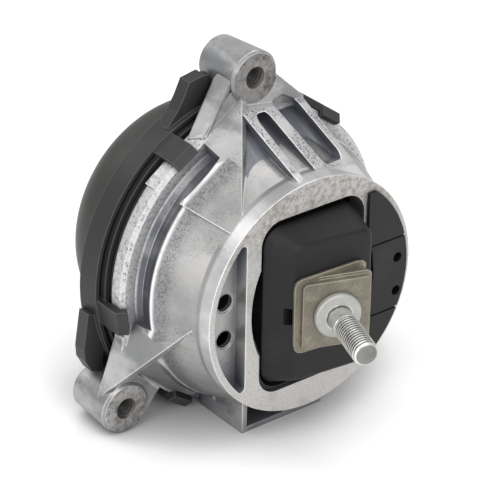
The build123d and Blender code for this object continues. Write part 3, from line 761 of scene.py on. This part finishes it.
@dataclass(frozen=True)
class PlatedSteel:
    """Plated or plain steel: bright, with painted shade in its grooves and faint turning marks."""

    name: str
    colour: Colour
    roughness: float
    worn_stud: bool = False
    edge_radius: float = 0.25 * MM
    # Painted shade in the grooves and thread roots, and how far the ambient occlusion looks
    groove: Colour = (0.060, 0.060, 0.056, 1.0)
    groove_reach: float = 1.6 * MM
    shaded: float = 0.66
    collar_end: float = 19.1 * MM
    tip_start: float = 52.4 * MM
    matt: Colour = (0.40, 0.40, 0.38, 1.0)
    tip: Colour = (0.10, 0.095, 0.085, 1.0)

    def build(self) -> bpy.types.Material:
        """Builds the material."""
        shader = Shader(self.name)
        cloud = shader.noise(160.0, 4.0, 0.6)
        fine = shader.noise(2200.0, 2.0, 0.5)
        dark = tuple(part * self.shaded for part in self.colour[:3]) + (1.0,)
        colour = shader.mix(shader.step(cloud, 0.35, 0.75), self.colour, dark)
        # Painted shade in grooves, by ambient occlusion
        open_share = shader.step(shader.openness(self.groove_reach), 0.60, 0.97)
        colour = shader.mix(open_share, self.groove, colour)
        metallic: Any = 0.95
        roughness = self.roughness + cloud * 0.18 - 0.05
        if self.worn_stud:
            turn = radians(STUD_TURN)
            along = shader.axis(0) * -sin(turn) - shader.axis(1) * cos(turn)
            collar = along < self.collar_end
            tip = along > self.tip_start
            colour = shader.mix(tip * 0.8, colour, self.tip)
            colour = shader.mix(collar * 0.85, colour, self.matt)
            metallic = (0.95 - collar * 0.45 - tip * 0.5).clamp()
            roughness = roughness + collar * 0.22 + tip * 0.15
        normal = shader.bump(fine, 0.00008, 0.35, shader.rounded(self.edge_radius))
        shader.set(Base_Color=colour, Metallic=metallic, Roughness=roughness.clamp(), Normal=normal)
        return shader.material


@dataclass(frozen=True)
class CoatedCore:
    """Olive-brown bonding coat on the core, satin, with lighter worn patches and edges lightened by
    wear and a painted highlight.
    """

    colour: Colour = (0.185, 0.168, 0.130, 1.0)
    wear_and_painted_light: Colour = (0.46, 0.42, 0.33, 1.0)
    stain: Colour = (0.060, 0.048, 0.032, 1.0)
    edge_radius: float = 0.8 * MM

    def build(self) -> bpy.types.Material:
        """Builds the material."""
        shader = Shader("coated_core")
        cloud = shader.noise(90.0, 5.0, 0.65)
        fine = shader.noise(1300.0, 3.0, 0.6)
        colour = shader.mix(shader.step(cloud, 0.45, 0.80) * 0.6, self.colour, self.wear_and_painted_light)
        colour = shader.mix(shader.step(fine, 0.56, 0.68) * 0.6, colour, self.stain)
        rounded = shader.rounded(self.edge_radius)
        # Lighter edges: wear and a painted highlight
        colour = shader.mix(shader.edges(rounded) * 0.8, colour, self.wear_and_painted_light)
        normal = shader.bump(fine + cloud, 0.00012, 0.4, rounded)
        roughness = (0.36 + cloud * 0.2).clamp()
        shader.set(Base_Color=colour, Metallic=0.45, Roughness=roughness, Normal=normal)
        return shader.material


def clear_selection() -> None:
    """Leaves nothing selected."""
    if bpy.context.object is not None and bpy.context.object.mode != "OBJECT":
        bpy.ops.object.mode_set(mode="OBJECT")
    bpy.ops.object.select_all(action="DESELECT")


def apply_place(piece: bpy.types.Object, place: Matrix) -> None:
    """Moves a piece to its place in the mount and puts that place into its mesh.

    Args:
        piece: The piece, modelled about its own axis.
        place: Where it goes in the row frame.
    """
    clear_selection()
    piece.matrix_world = place
    piece.select_set(True)
    bpy.context.view_layer.objects.active = piece
    bpy.ops.object.transform_apply(location=True, rotation=True, scale=True)


def apply_modifiers(piece: bpy.types.Object) -> None:
    """Applies all modifiers of a piece."""
    clear_selection()
    piece.select_set(True)
    bpy.context.view_layer.objects.active = piece
    for modifier in list(piece.modifiers):
        bpy.ops.object.modifier_apply(modifier=modifier.name)


def smooth(piece: bpy.types.Object, angle: float) -> None:
    """Shades a piece smooth up to an angle in degrees."""
    clear_selection()
    piece.select_set(True)
    bpy.context.view_layer.objects.active = piece
    bpy.ops.object.shade_smooth_by_angle(angle=radians(angle))


def dress(piece: bpy.types.Object, material: bpy.types.Material, angle: float) -> None:
    """Gives a piece its finish and shades it smooth up to an angle in degrees."""
    piece.data.materials.clear()
    piece.data.materials.append(material)
    smooth(piece, angle)


def chain(name: str, points: Sequence[Sequence[float]]) -> bpy.types.Object:
    """A chain of edges, drawn point by point, that stays in edit mode.

    Args:
        name: The object's name.
        points: Its points, in metres.

    Returns:
        The chain as a mesh object.
    """
    clear_selection()
    bpy.ops.mesh.primitive_plane_add(size=MM)
    piece = bpy.context.object
    piece.name = name
    bpy.ops.object.mode_set(mode="EDIT")
    bpy.ops.mesh.select_all(action="SELECT")
    bpy.ops.mesh.merge(type="CENTER")
    bpy.ops.mesh.select_all(action="SELECT")
    bpy.ops.transform.translate(value=points[0])
    for before, after in zip(points, points[1:]):
        step = tuple(end - start for start, end in zip(before, after))
        bpy.ops.mesh.extrude_region_move(TRANSFORM_OT_translate={"value": step})
    return piece


def close_mesh(merge: Optional[float] = None) -> None:
    """Turns the faces of the edited mesh outwards and leaves edit mode.

    Args:
        merge: Distance within which its points are merged first, if at all.
    """
    bpy.ops.mesh.select_all(action="SELECT")
    if merge is not None:
        bpy.ops.mesh.remove_doubles(threshold=merge)
    bpy.ops.mesh.normals_make_consistent(inside=False)
    bpy.ops.object.mode_set(mode="OBJECT")


def lathe(name: str, points: Sequence[tuple[float, float]], steps: int) -> bpy.types.Object:
    """A closed solid turned about the Z axis.

    Args:
        name: The object's name.
        points: (radius, height) along the outside; the first and last lie on the axis.
        steps: Number of flat steps in a full turn.

    Returns:
        The turned piece.
    """
    piece = chain(name, [(radius, 0.0, height) for radius, height in points])
    bpy.ops.mesh.select_all(action="SELECT")
    bpy.ops.mesh.spin(steps=steps, angle=tau, center=(0, 0, 0), axis=(0, 0, 1), use_auto_merge=True)
    close_mesh(POINT_MERGE)
    return piece


def plate(name: str, corners: Sequence[Point], thickness: Point) -> bpy.types.Object:
    """A flat plate with straight edges.

    Args:
        name: The object's name.
        corners: Its corners in order, from the middle of the ring face.
        thickness: How far its other face lies from the corners.

    Returns:
        The plate, in its place.
    """
    piece = chain(name, [Vector(RING_MIDDLE) + Vector(corner) for corner in corners])
    bpy.ops.mesh.select_all(action="SELECT")
    bpy.ops.mesh.edge_face_add()
    bpy.ops.mesh.select_all(action="SELECT")
    bpy.ops.mesh.extrude_region_move(TRANSFORM_OT_translate={"value": thickness})
    close_mesh()
    return piece


def join(name: str, pieces: Sequence[bpy.types.Object]) -> bpy.types.Object:
    """Joins pieces into one object."""
    clear_selection()
    for piece in pieces:
        piece.select_set(True)
    bpy.context.view_layer.objects.active = pieces[0]
    bpy.ops.object.join()
    pieces[0].name = name
    return pieces[0]


@dataclass
class Thread:
    """A screw thread about the Z axis, from height 0 upwards.

    Args:
        outer: Radius over the crests, in metres.
        pitch: Rise in one turn.
        length: Length of the thread.
        depth: Depth from crest to root.
        steps: Number of flat steps in one turn.
        crest_share: Width of a crest over the pitch.
        flank_share: Width of a flank over the pitch.
    """

    outer: float
    pitch: float
    length: float
    depth: float
    steps: int = 40
    crest_share: float = 0.14
    flank_share: float = 0.36

    def swept(self, section: Sequence[tuple[float, float]], turns: int) -> bpy.types.Object:
        """Sweeps one tooth's section along the helix.

        Args:
            section: (radius, height) points of the section.
            turns: Number of full turns.

        Returns:
            The swept thread.
        """
        piece = chain("thread", [(radius, 0.0, height) for radius, height in section])
        bpy.ops.object.mode_set(mode="OBJECT")
        screw = piece.modifiers.new("turns", "SCREW")
        screw.axis = "Z"
        screw.screw_offset = self.pitch
        screw.iterations = turns
        screw.steps = self.steps
        screw.render_steps = self.steps
        screw.use_merge_vertices = True
        screw.merge_threshold = POINT_MERGE
        apply_modifiers(piece)
        bpy.ops.object.mode_set(mode="EDIT")
        close_mesh(POINT_MERGE * 2.0)
        return piece

    def external(self) -> bpy.types.Object:
        """A solid threaded bar, cut flat at both ends."""
        root = self.outer - self.depth
        crest = self.pitch * self.crest_share
        flank = self.pitch * self.flank_share
        start = -2.0 * self.pitch
        section = [
            (root, start),
            (self.outer, start + flank),
            (self.outer, start + flank + crest),
            (root, start + self.pitch - crest),
            (root, start + self.pitch),
        ]
        piece = self.swept(section, int(self.length / self.pitch) + 4)
        for height, outside in ((0.0, True), (self.length, False)):
            bpy.ops.object.mode_set(mode="EDIT")
            bpy.ops.mesh.select_all(action="SELECT")
            bpy.ops.mesh.bisect(
                plane_co=(0, 0, height), plane_no=(0, 0, 1), use_fill=True,
                clear_inner=outside, clear_outer=not outside,
            )
            close_mesh()
        return piece

    def internal(self, wall: float, mouth: float) -> bpy.types.Object:
        """A threaded lining of a hole, with its crests cut back at both mouths.

        Args:
            wall: Radius of the lining's outside, just inside the hole's wall.
            mouth: Height of the cut-back at each end.

        Returns:
            The lining.
        """
        lining = lathe("lining", [
            (0.0, 0.0),
            (wall, 0.0),
            (wall, self.length),
            (0.0, self.length),
        ], self.steps * 2)
        length = self.length + 2.0 * self.pitch
        longer = Thread(self.outer, self.pitch, length, self.depth, self.steps)
        cutter = longer.external()
        apply_place(cutter, Matrix.Translation((0.0, 0.0, -self.pitch)))
        lining = cut(lining, cutter)
        crest = self.outer - self.depth
        for end, inward in ((0.0, mouth), (self.length, -mouth)):
            cone = lathe("cone", [
                (0.0, end - inward * 0.1),
                (self.outer + self.depth * 0.1, end - inward * 0.1),
                (crest, end + inward),
                (0.0, end + inward),
            ], self.steps)
            lining = cut(lining, cone)
        return lining


def cut(
    piece: bpy.types.Object, tool: bpy.types.Object, operation: str = "DIFFERENCE",
) -> bpy.types.Object:
    """Cuts a piece with a tool, which is then deleted.

    Args:
        piece: The piece to change.
        tool: The shape that cuts it.
        operation: DIFFERENCE takes the tool away, INTERSECT keeps what both share.

    Returns:
        The piece.
    """
    modifier = piece.modifiers.new("cut", "BOOLEAN")
    modifier.operation = operation
    modifier.solver = "EXACT"
    modifier.object = tool
    apply_modifiers(piece)
    bpy.data.objects.remove(tool, do_unlink=True)
    return piece


@dataclass
class StudAssembly:
    """The stud: a round collar, a plain shank and an M12 thread with a chamfered tip."""

    core_face: Point = (0.8 * MM, -16.6 * MM, -2.2 * MM)
    collar_radius: float = 10.9 * MM
    collar_seat: float = 0.1 * MM
    collar_thickness: float = 3.4 * MM
    collar_edge: float = 0.8 * MM
    collar_rise: float = 0.5 * MM
    collar_slope: float = 1.6 * MM
    shank_radius: float = 5.7 * MM
    shank_end: float = 12.4 * MM
    band_start: float = 2.4 * MM
    band_full: float = 1.7 * MM
    band_end: float = 0.2 * MM
    band_gap: float = 0.02 * MM
    groove: float = 0.5 * MM
    reach: float = 37.5 * MM
    thread_radius: float = 6.0 * MM
    pitch: float = 1.75 * MM
    thread_depth: float = 0.6
    tip_chamfer: float = 1.6 * MM
    envelope_gap: float = 0.05 * MM
    end_trim: float = 0.001 * MM

    def place(self) -> Matrix:
        """Matrix that takes the stud's own axis (Z, from the core's face) to its place."""
        turn = radians(STUD_TURN)
        outward = Vector((-sin(turn), -cos(turn), 0.0))
        right = Vector((cos(turn), -sin(turn), 0.0))
        up = outward.cross(right)
        frame = Matrix((right, up, outward)).transposed().to_4x4()
        return Matrix.Translation(Vector(RING_MIDDLE) + Vector(self.core_face)) @ frame

    def collar(self) -> bpy.types.Object:
        """The collar, with a small rise towards the shank."""
        edge = self.collar_edge
        radius = self.collar_radius
        seat = self.collar_seat
        top = self.collar_thickness
        rise = self.collar_rise
        return lathe("collar", [
            (0.0, seat),
            (radius - edge * 0.5, seat),
            (radius, seat + edge * 0.5),
            (radius, top - edge),
            (radius - edge, top),
            (self.shank_radius + self.collar_slope, top + seat),
            (self.shank_radius + rise, top + rise),
            (0.0, top + rise),
        ], 96)

    def shank(self) -> bpy.types.Object:
        """The plain shank between the collar and the thread."""
        end = self.shank_end
        radius = self.shank_radius
        band = self.thread_radius - self.band_gap
        return lathe("shank", [
            (0.0, self.collar_thickness),
            (radius, self.collar_thickness),
            (radius, end - self.band_start),
            (band, end - self.band_full),
            (band, end - self.band_end),
            (radius - self.groove, end + self.groove),
            (0.0, end + self.groove),
        ], 64)

    def thread(self) -> bpy.types.Object:
        """The threaded end."""
        length = self.reach - self.shank_end
        depth = self.pitch * self.thread_depth
        bar = Thread(self.thread_radius, self.pitch, length, depth).external()
        radius = self.thread_radius + self.envelope_gap
        chamfer = self.tip_chamfer
        trim = self.end_trim
        envelope = lathe("envelope", [
            (0.0, trim),
            (radius - chamfer * 0.6, trim),
            (radius, chamfer),
            (radius, length - chamfer),
            (radius - chamfer * 1.15, length - trim),
            (0.0, length - trim),
        ], 96)
        bar = cut(bar, envelope, "INTERSECT")
        apply_place(bar, Matrix.Translation((0.0, 0.0, self.shank_end)))
        return bar

    def build(self, plated: bpy.types.Material) -> bpy.types.Object:
        """Builds the stud in the place of the plain one.

        Args:
            plated: The zinc plating.

        Returns:
            The finished stud.
        """
        piece = join("threaded_stud", [self.collar(), self.shank(), self.thread()])
        apply_place(piece, self.place())
        dress(piece, plated, 32.0)
        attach(piece, "root")
        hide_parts("stud")
        return piece


@dataclass
class EarThreads:
    """The M10 threads in the three ears."""

    names: tuple[str, ...] = ("ear_thread_top", "ear_thread_lower_left", "ear_thread_lower_right")
    hole: float = 4.25 * MM
    wall: float = 0.03 * MM
    mouth: float = 0.45 * MM
    pitch: float = 1.5 * MM
    front: float = 44.6 * MM
    rear: float = 69.8 * MM
    depth: float = 0.70 * MM
    steps: int = 32

    def build(self, metal: bpy.types.Material) -> list[bpy.types.Object]:
        """Builds one thread per ear.

        Args:
            metal: The finish of the casting.

        Returns:
            The threads.
        """
        made = []
        thread = Thread(self.hole, self.pitch, self.rear - self.front, self.depth, self.steps)
        for name, angle in zip(self.names, EAR_ANGLES):
            piece = thread.internal(self.hole + self.wall, self.mouth)
            piece.name = name
            turn = radians(angle)
            start = (EAR_AXIS_RADIUS * cos(turn), self.front, EAR_AXIS_RADIUS * sin(turn))
            place = Matrix.Translation(Vector(RING_MIDDLE) + Vector(start))
            apply_place(piece, place @ Matrix.Rotation(-pi / 2.0, 4, "X"))
            dress(piece, metal, 30.0)
            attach(piece, "root")
            made.append(piece)
        return made


@dataclass
class CastFairings:
    """Parts of the casting that blend it: floors between the ribs and the web beside the top ear."""

    floor_thickness: Point = (0.0, 1.2 * MM, -0.8 * MM)
    web_thickness: Point = (1.6 * MM, 1.0 * MM, -2.3 * MM)
    rib_depth: float = 9.0
    middle: tuple[tuple[float, float], ...] = ((-5.8, 75.0), (4.4, 74.6), (6.6, 61.0), (-4.4, 61.0))
    right: tuple[tuple[float, float], ...] = ((8.4, 72.5), (24.6, 70.0), (27.2, 56.0), (11.8, 60.0))
    left: tuple[Point, ...] = ((-9.3, 46.0, 76.3), (-4.8, 21.0, 61.8), (-22.5, 20.0, 57.5))
    web: tuple[Point, ...] = (
        (-32.6, 50.2, 67.4), (-13.2, 56.8, 89.4), (-12.5, 54.6, 92.4), (-12.5, 45.0, 92.4),
        (-13.2, 44.9, 88.6), (-27.0, 44.1, 68.6),
    )

    def on_floor(self, places: Sequence[tuple[float, float]]) -> list[Point]:
        """Points of the floor between the ribs, all in millimetres.

        Args:
            places: Distances to the right and up in the ring's plane.

        Returns:
            The points.
        """
        start, across, up = RIB_FRONT
        return [(x, start + self.rib_depth + across * x + up * z, z) for x, z in places]

    def build(
        self, metal: bpy.types.Material, hollow: bpy.types.Material,
    ) -> list[bpy.types.Object]:
        """Builds the floors and the web.

        Args:
            metal: The finish of the casting.
            hollow: Its finish deep between the ribs, which carries painted shade.

        Returns:
            The pieces.
        """
        shapes = (
            ("rib_floor_middle", self.on_floor(self.middle), self.floor_thickness, hollow),
            ("rib_floor_right", self.on_floor(self.right), self.floor_thickness, hollow),
            ("rib_floor_left", self.left, self.floor_thickness, hollow),
            ("ear_web", self.web, self.web_thickness, metal),
        )
        made = []
        for name, corners, thickness, material in shapes:
            piece = plate(name, in_metres(corners), thickness)
            dress(piece, material, 25.0)
            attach(piece, "root")
            made.append(piece)
        return made


@dataclass
class CoreRim:
    """The rim that the core lies on, parallel to the front of the stop block."""

    outline: tuple[tuple[float, float], ...] = (
        (-17.8, 12.8), (-17.2, 14.9), (-16.0, 16.2), (-14.2, 16.9), (14.4, 18.3), (18.0, 17.8),
        (19.4, 16.4), (19.6, -18.6), (18.6, -20.4), (16.4, -21.0), (-13.1, -21.0), (-15.4, -20.4),
        (-16.8, -19.0), (-17.6, -15.6),
    )
    front: float = 11.6
    lean: float = 0.12
    upright: float = 0.9928
    thickness: Point = (0.17 * MM, 1.4 * MM, 0.0)

    def build(self, coat: bpy.types.Material) -> bpy.types.Object:
        """Builds the rim.

        Args:
            coat: The core's finish.

        Returns:
            The piece.
        """
        corners = [(x, -(self.front + self.lean * x) / self.upright, z) for x, z in self.outline]
        piece = plate("core_rim", in_metres(corners), self.thickness)
        dress(piece, coat, 25.0)
        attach(piece, "root")
        return piece


@dataclass
class ClipArmEnds:
    """The ends of the clip's arms, reaching to the sides of the top and the lower left ear."""

    upper: tuple[Point, ...] = (
        (-17.2, 59.4, 90.6), (-12.9, 59.4, 89.9), (-12.3, 59.4, 86.0), (-9.9, 59.4, 81.9),
        (-9.9, 59.4, 79.2), (-17.2, 59.4, 79.2),
    )
    lower: tuple[Point, ...] = (
        (-71.5, 62.0, -43.2), (-65.0, 62.0, -43.2), (-65.0, 62.0, -37.0), (-71.5, 62.0, -37.0),
    )
    thickness: Point = (0.0, 5.0 * MM, 0.0)

    def build(self, plastic: bpy.types.Material) -> list[bpy.types.Object]:
        """Builds the arms' ends.

        Args:
            plastic: The clip's finish.

        Returns:
            The pieces.
        """
        made = []
        shapes = (("clip_arm_end_upper", self.upper), ("clip_arm_end_lower", self.lower))
        for name, corners in shapes:
            piece = plate(name, in_metres(corners), self.thickness)
            dress(piece, plastic, 20.0)
            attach(piece, "root")
            made.append(piece)
        return made


class Slot(Enum):
    """The record's material slots."""

    CAST = "cast_aluminium"
    RUBBER = "moulded_rubber"
    SPRING = "spring_rubber"
    CORE = "coated_core"
    ZINC = "zinc_plated_steel"
    STEEL = "pressed_steel"
    CHANNEL = "channel_alloy"
    CUP = "cup_plastic"
    CLIP = "clip_plastic"


@dataclass
class Finishes:
    """All finishes of the mount, by material slot."""

    rubber: Colour = (0.0060, 0.0058, 0.0062, 1.0)
    spring: Colour = (0.006, 0.006, 0.0063, 1.0)
    zinc: Colour = (0.76, 0.76, 0.73, 1.0)
    steel: Colour = (0.50, 0.50, 0.50, 1.0)
    channel: Colour = (0.60, 0.60, 0.62, 1.0)
    cup: Colour = (0.038, 0.038, 0.035, 1.0)
    clip: Colour = (0.026, 0.025, 0.026, 1.0)
    # Painted highlight on the edges of the cup and the clip
    plastic_edge_highlight: Colour = (0.17, 0.165, 0.145, 1.0)

    def build(self) -> dict[Slot, bpy.types.Material]:
        """Builds one material per slot."""
        edge = self.plastic_edge_highlight
        finishes = {
            Slot.CAST: CastAluminium(),
            Slot.RUBBER: Moulded("moulded_rubber", self.rubber, 0.50, 0.75, 0.80),
            Slot.SPRING: Moulded("spring_rubber", self.spring, 0.6, 0.3, 0.2),
            Slot.CORE: CoatedCore(),
            Slot.ZINC: PlatedSteel("zinc_plated_steel", self.zinc, 0.33, worn_stud=True),
            Slot.STEEL: PlatedSteel("pressed_steel", self.steel, 0.35),
            Slot.CHANNEL: PlatedSteel("channel_alloy", self.channel, 0.4),
            Slot.CUP: Moulded("cup_plastic", self.cup, 0.42, 0.25, 0.40, edge),
            Slot.CLIP: Moulded("clip_plastic", self.clip, 0.44, 0.25, 0.40, edge),
        }
        return {slot: finish.build() for slot, finish in finishes.items()}


@dataclass
class Castings:
    """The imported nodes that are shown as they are, with their finishes."""

    def build(self, frame: dict[str, Any], finishes: dict[Slot, bpy.types.Material]) -> None:
        """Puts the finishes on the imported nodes.

        Args:
            frame: The loaded frame.
            finishes: The finishes by slot.
        """
        for entry in frame["record"]["subparts"]:
            node = frame["nodes"][entry["node"]]
            material = finishes[Slot(entry["material_slot"])]
            if not node.material_slots:
                node.data.materials.append(material)
            for slot in node.material_slots:
                slot.material = material
            log.info("node %s in %s", entry["node"], material.name)


@dataclass(frozen=True)
class Lamp:
    """A square soft light: its place, the length of its side and its power in watts."""

    name: str
    place: Point
    size: float
    power: float


@dataclass
class Studio:
    """Plain floor, soft lights and the camera at the photograph's angle."""

    azimuth: float = 38.552
    elevation: float = 28.902
    roll: float = 1.041
    distance: float = 1.1233
    side: float = -0.03216
    rise: float = 0.02449
    focal: float = 187.5
    floor_size: float = 8.0
    floor_colour: Colour = (0.72, 0.72, 0.73, 1.0)
    floor_seen: Colour = (1.0, 1.0, 1.0, 1.0)
    # Painted contact shadow on the floor: its tone, how far it reaches and how it fades
    floor_contact_shadow: Colour = (0.55, 0.55, 0.55, 1.0)
    contact_reach: float = 48.0 * MM
    contact_range: tuple[float, float] = (0.20, 0.70)
    world_strength: float = 0.72
    aim: Point = (0.0, 0.0, 0.07)
    lamps: tuple[Lamp, ...] = (
        Lamp("back", (-0.70, 0.85, 1.10), 0.5, 2.8),
        Lamp("top", (0.45, 0.10, 1.35), 0.8, 5.5),
        Lamp("front", (-0.25, -1.25, 0.70), 0.9, 7.5),
        Lamp("left", (-1.25, -0.25, 0.50), 0.6, 4.2),
        Lamp("over", (-0.52, 0.06, 1.20), 0.9, 1.3),
    )

    def camera(self) -> None:
        """Adds the camera."""
        turn = radians(self.azimuth)
        tip = radians(self.elevation)
        back = Vector((-sin(turn) * cos(tip), -cos(turn) * cos(tip), sin(tip)))
        level = Vector((cos(turn), -sin(turn), 0.0))
        upright = back.cross(level)
        roll = radians(self.roll)
        right = level * cos(roll) + upright * sin(roll)
        up = upright * cos(roll) - level * sin(roll)
        data = bpy.data.cameras.new("camera")
        data.lens = self.focal
        data.sensor_width = 36.0
        data.clip_end = 20.0
        camera = bpy.data.objects.new("camera", data)
        place = Vector(RING_MIDDLE) + right * self.side + up * self.rise + back * self.distance
        turned = Matrix((right, up, back)).transposed().to_4x4()
        camera.matrix_world = Matrix.Translation(place) @ turned
        bpy.context.collection.objects.link(camera)
        bpy.context.scene.camera = camera

    def light(self, lamp: Lamp) -> None:
        """Adds a soft light that looks at the mount.

        Args:
            lamp: Its place, size and power.
        """
        data = bpy.data.lights.new(lamp.name, "AREA")
        data.size = lamp.size
        data.energy = lamp.power
        light = bpy.data.objects.new(lamp.name, data)
        towards = Vector(self.aim) - Vector(lamp.place)
        turned = towards.to_track_quat("-Z", "Y").to_matrix().to_4x4()
        light.matrix_world = Matrix.Translation(lamp.place) @ turned
        bpy.context.collection.objects.link(light)

    def floor(self) -> None:
        """Adds the floor under the mount, white to the camera and in reflections, with a painted
        contact shadow near the mount.
        """
        low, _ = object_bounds()
        clear_selection()
        bpy.ops.mesh.primitive_plane_add(size=self.floor_size, location=(0.0, 0.0, low[2]))
        floor = bpy.context.object
        floor.name = "floor"
        shader = Shader("floor_paint")
        rays = [
            shader.node("ShaderNodeLightPath", {}, {}, kind)
            for kind in ("Is Camera Ray", "Is Glossy Ray", "Is Transmission Ray")
        ]
        seen = sum(rays).clamp()
        # Painted contact shadow, by ambient occlusion, on the floor as the camera sees it
        contact_shadow = shader.step(shader.openness(self.contact_reach), *self.contact_range)
        white = shader.mix(contact_shadow, self.floor_contact_shadow, self.floor_seen)
        colour = shader.mix(seen, self.floor_colour, white)
        shader.set(Base_Color=colour, Roughness=0.9, Specular_IOR_Level=0.1)
        floor.data.materials.append(shader.material)
        floor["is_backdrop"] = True

    def world(self) -> None:
        """Sets a plain white world."""
        world = bpy.data.worlds.new("studio")
        world.use_nodes = True
        background = world.node_tree.nodes["Background"]
        background.inputs["Color"].default_value = (1.0, 1.0, 1.0, 1.0)
        background.inputs["Strength"].default_value = self.world_strength
        bpy.context.scene.world = world
        bpy.context.scene.view_settings.view_transform = "Standard"

    def build(self) -> None:
        """Builds the studio."""
        self.camera()
        self.floor()
        self.world()
        for lamp in self.lamps:
            self.light(lamp)


def main() -> None:
    """Builds the mount's looks piece by piece."""
    logging.basicConfig(level=logging.INFO, format="%(message)s")
    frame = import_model()
    finishes = Finishes().build()
    Castings().build(frame, finishes)
    pieces = [StudAssembly().build(finishes[Slot.ZINC])]
    pieces += EarThreads().build(finishes[Slot.CAST])
    pieces += CastFairings().build(finishes[Slot.CAST], CastHollowShade().build())
    pieces += ClipArmEnds().build(finishes[Slot.CLIP])
    pieces.append(CoreRim().build(finishes[Slot.CORE]))
    for piece in pieces:
        log.info("piece %s", piece.name)
    Studio().build()


if __name__ == "__main__":
    main()
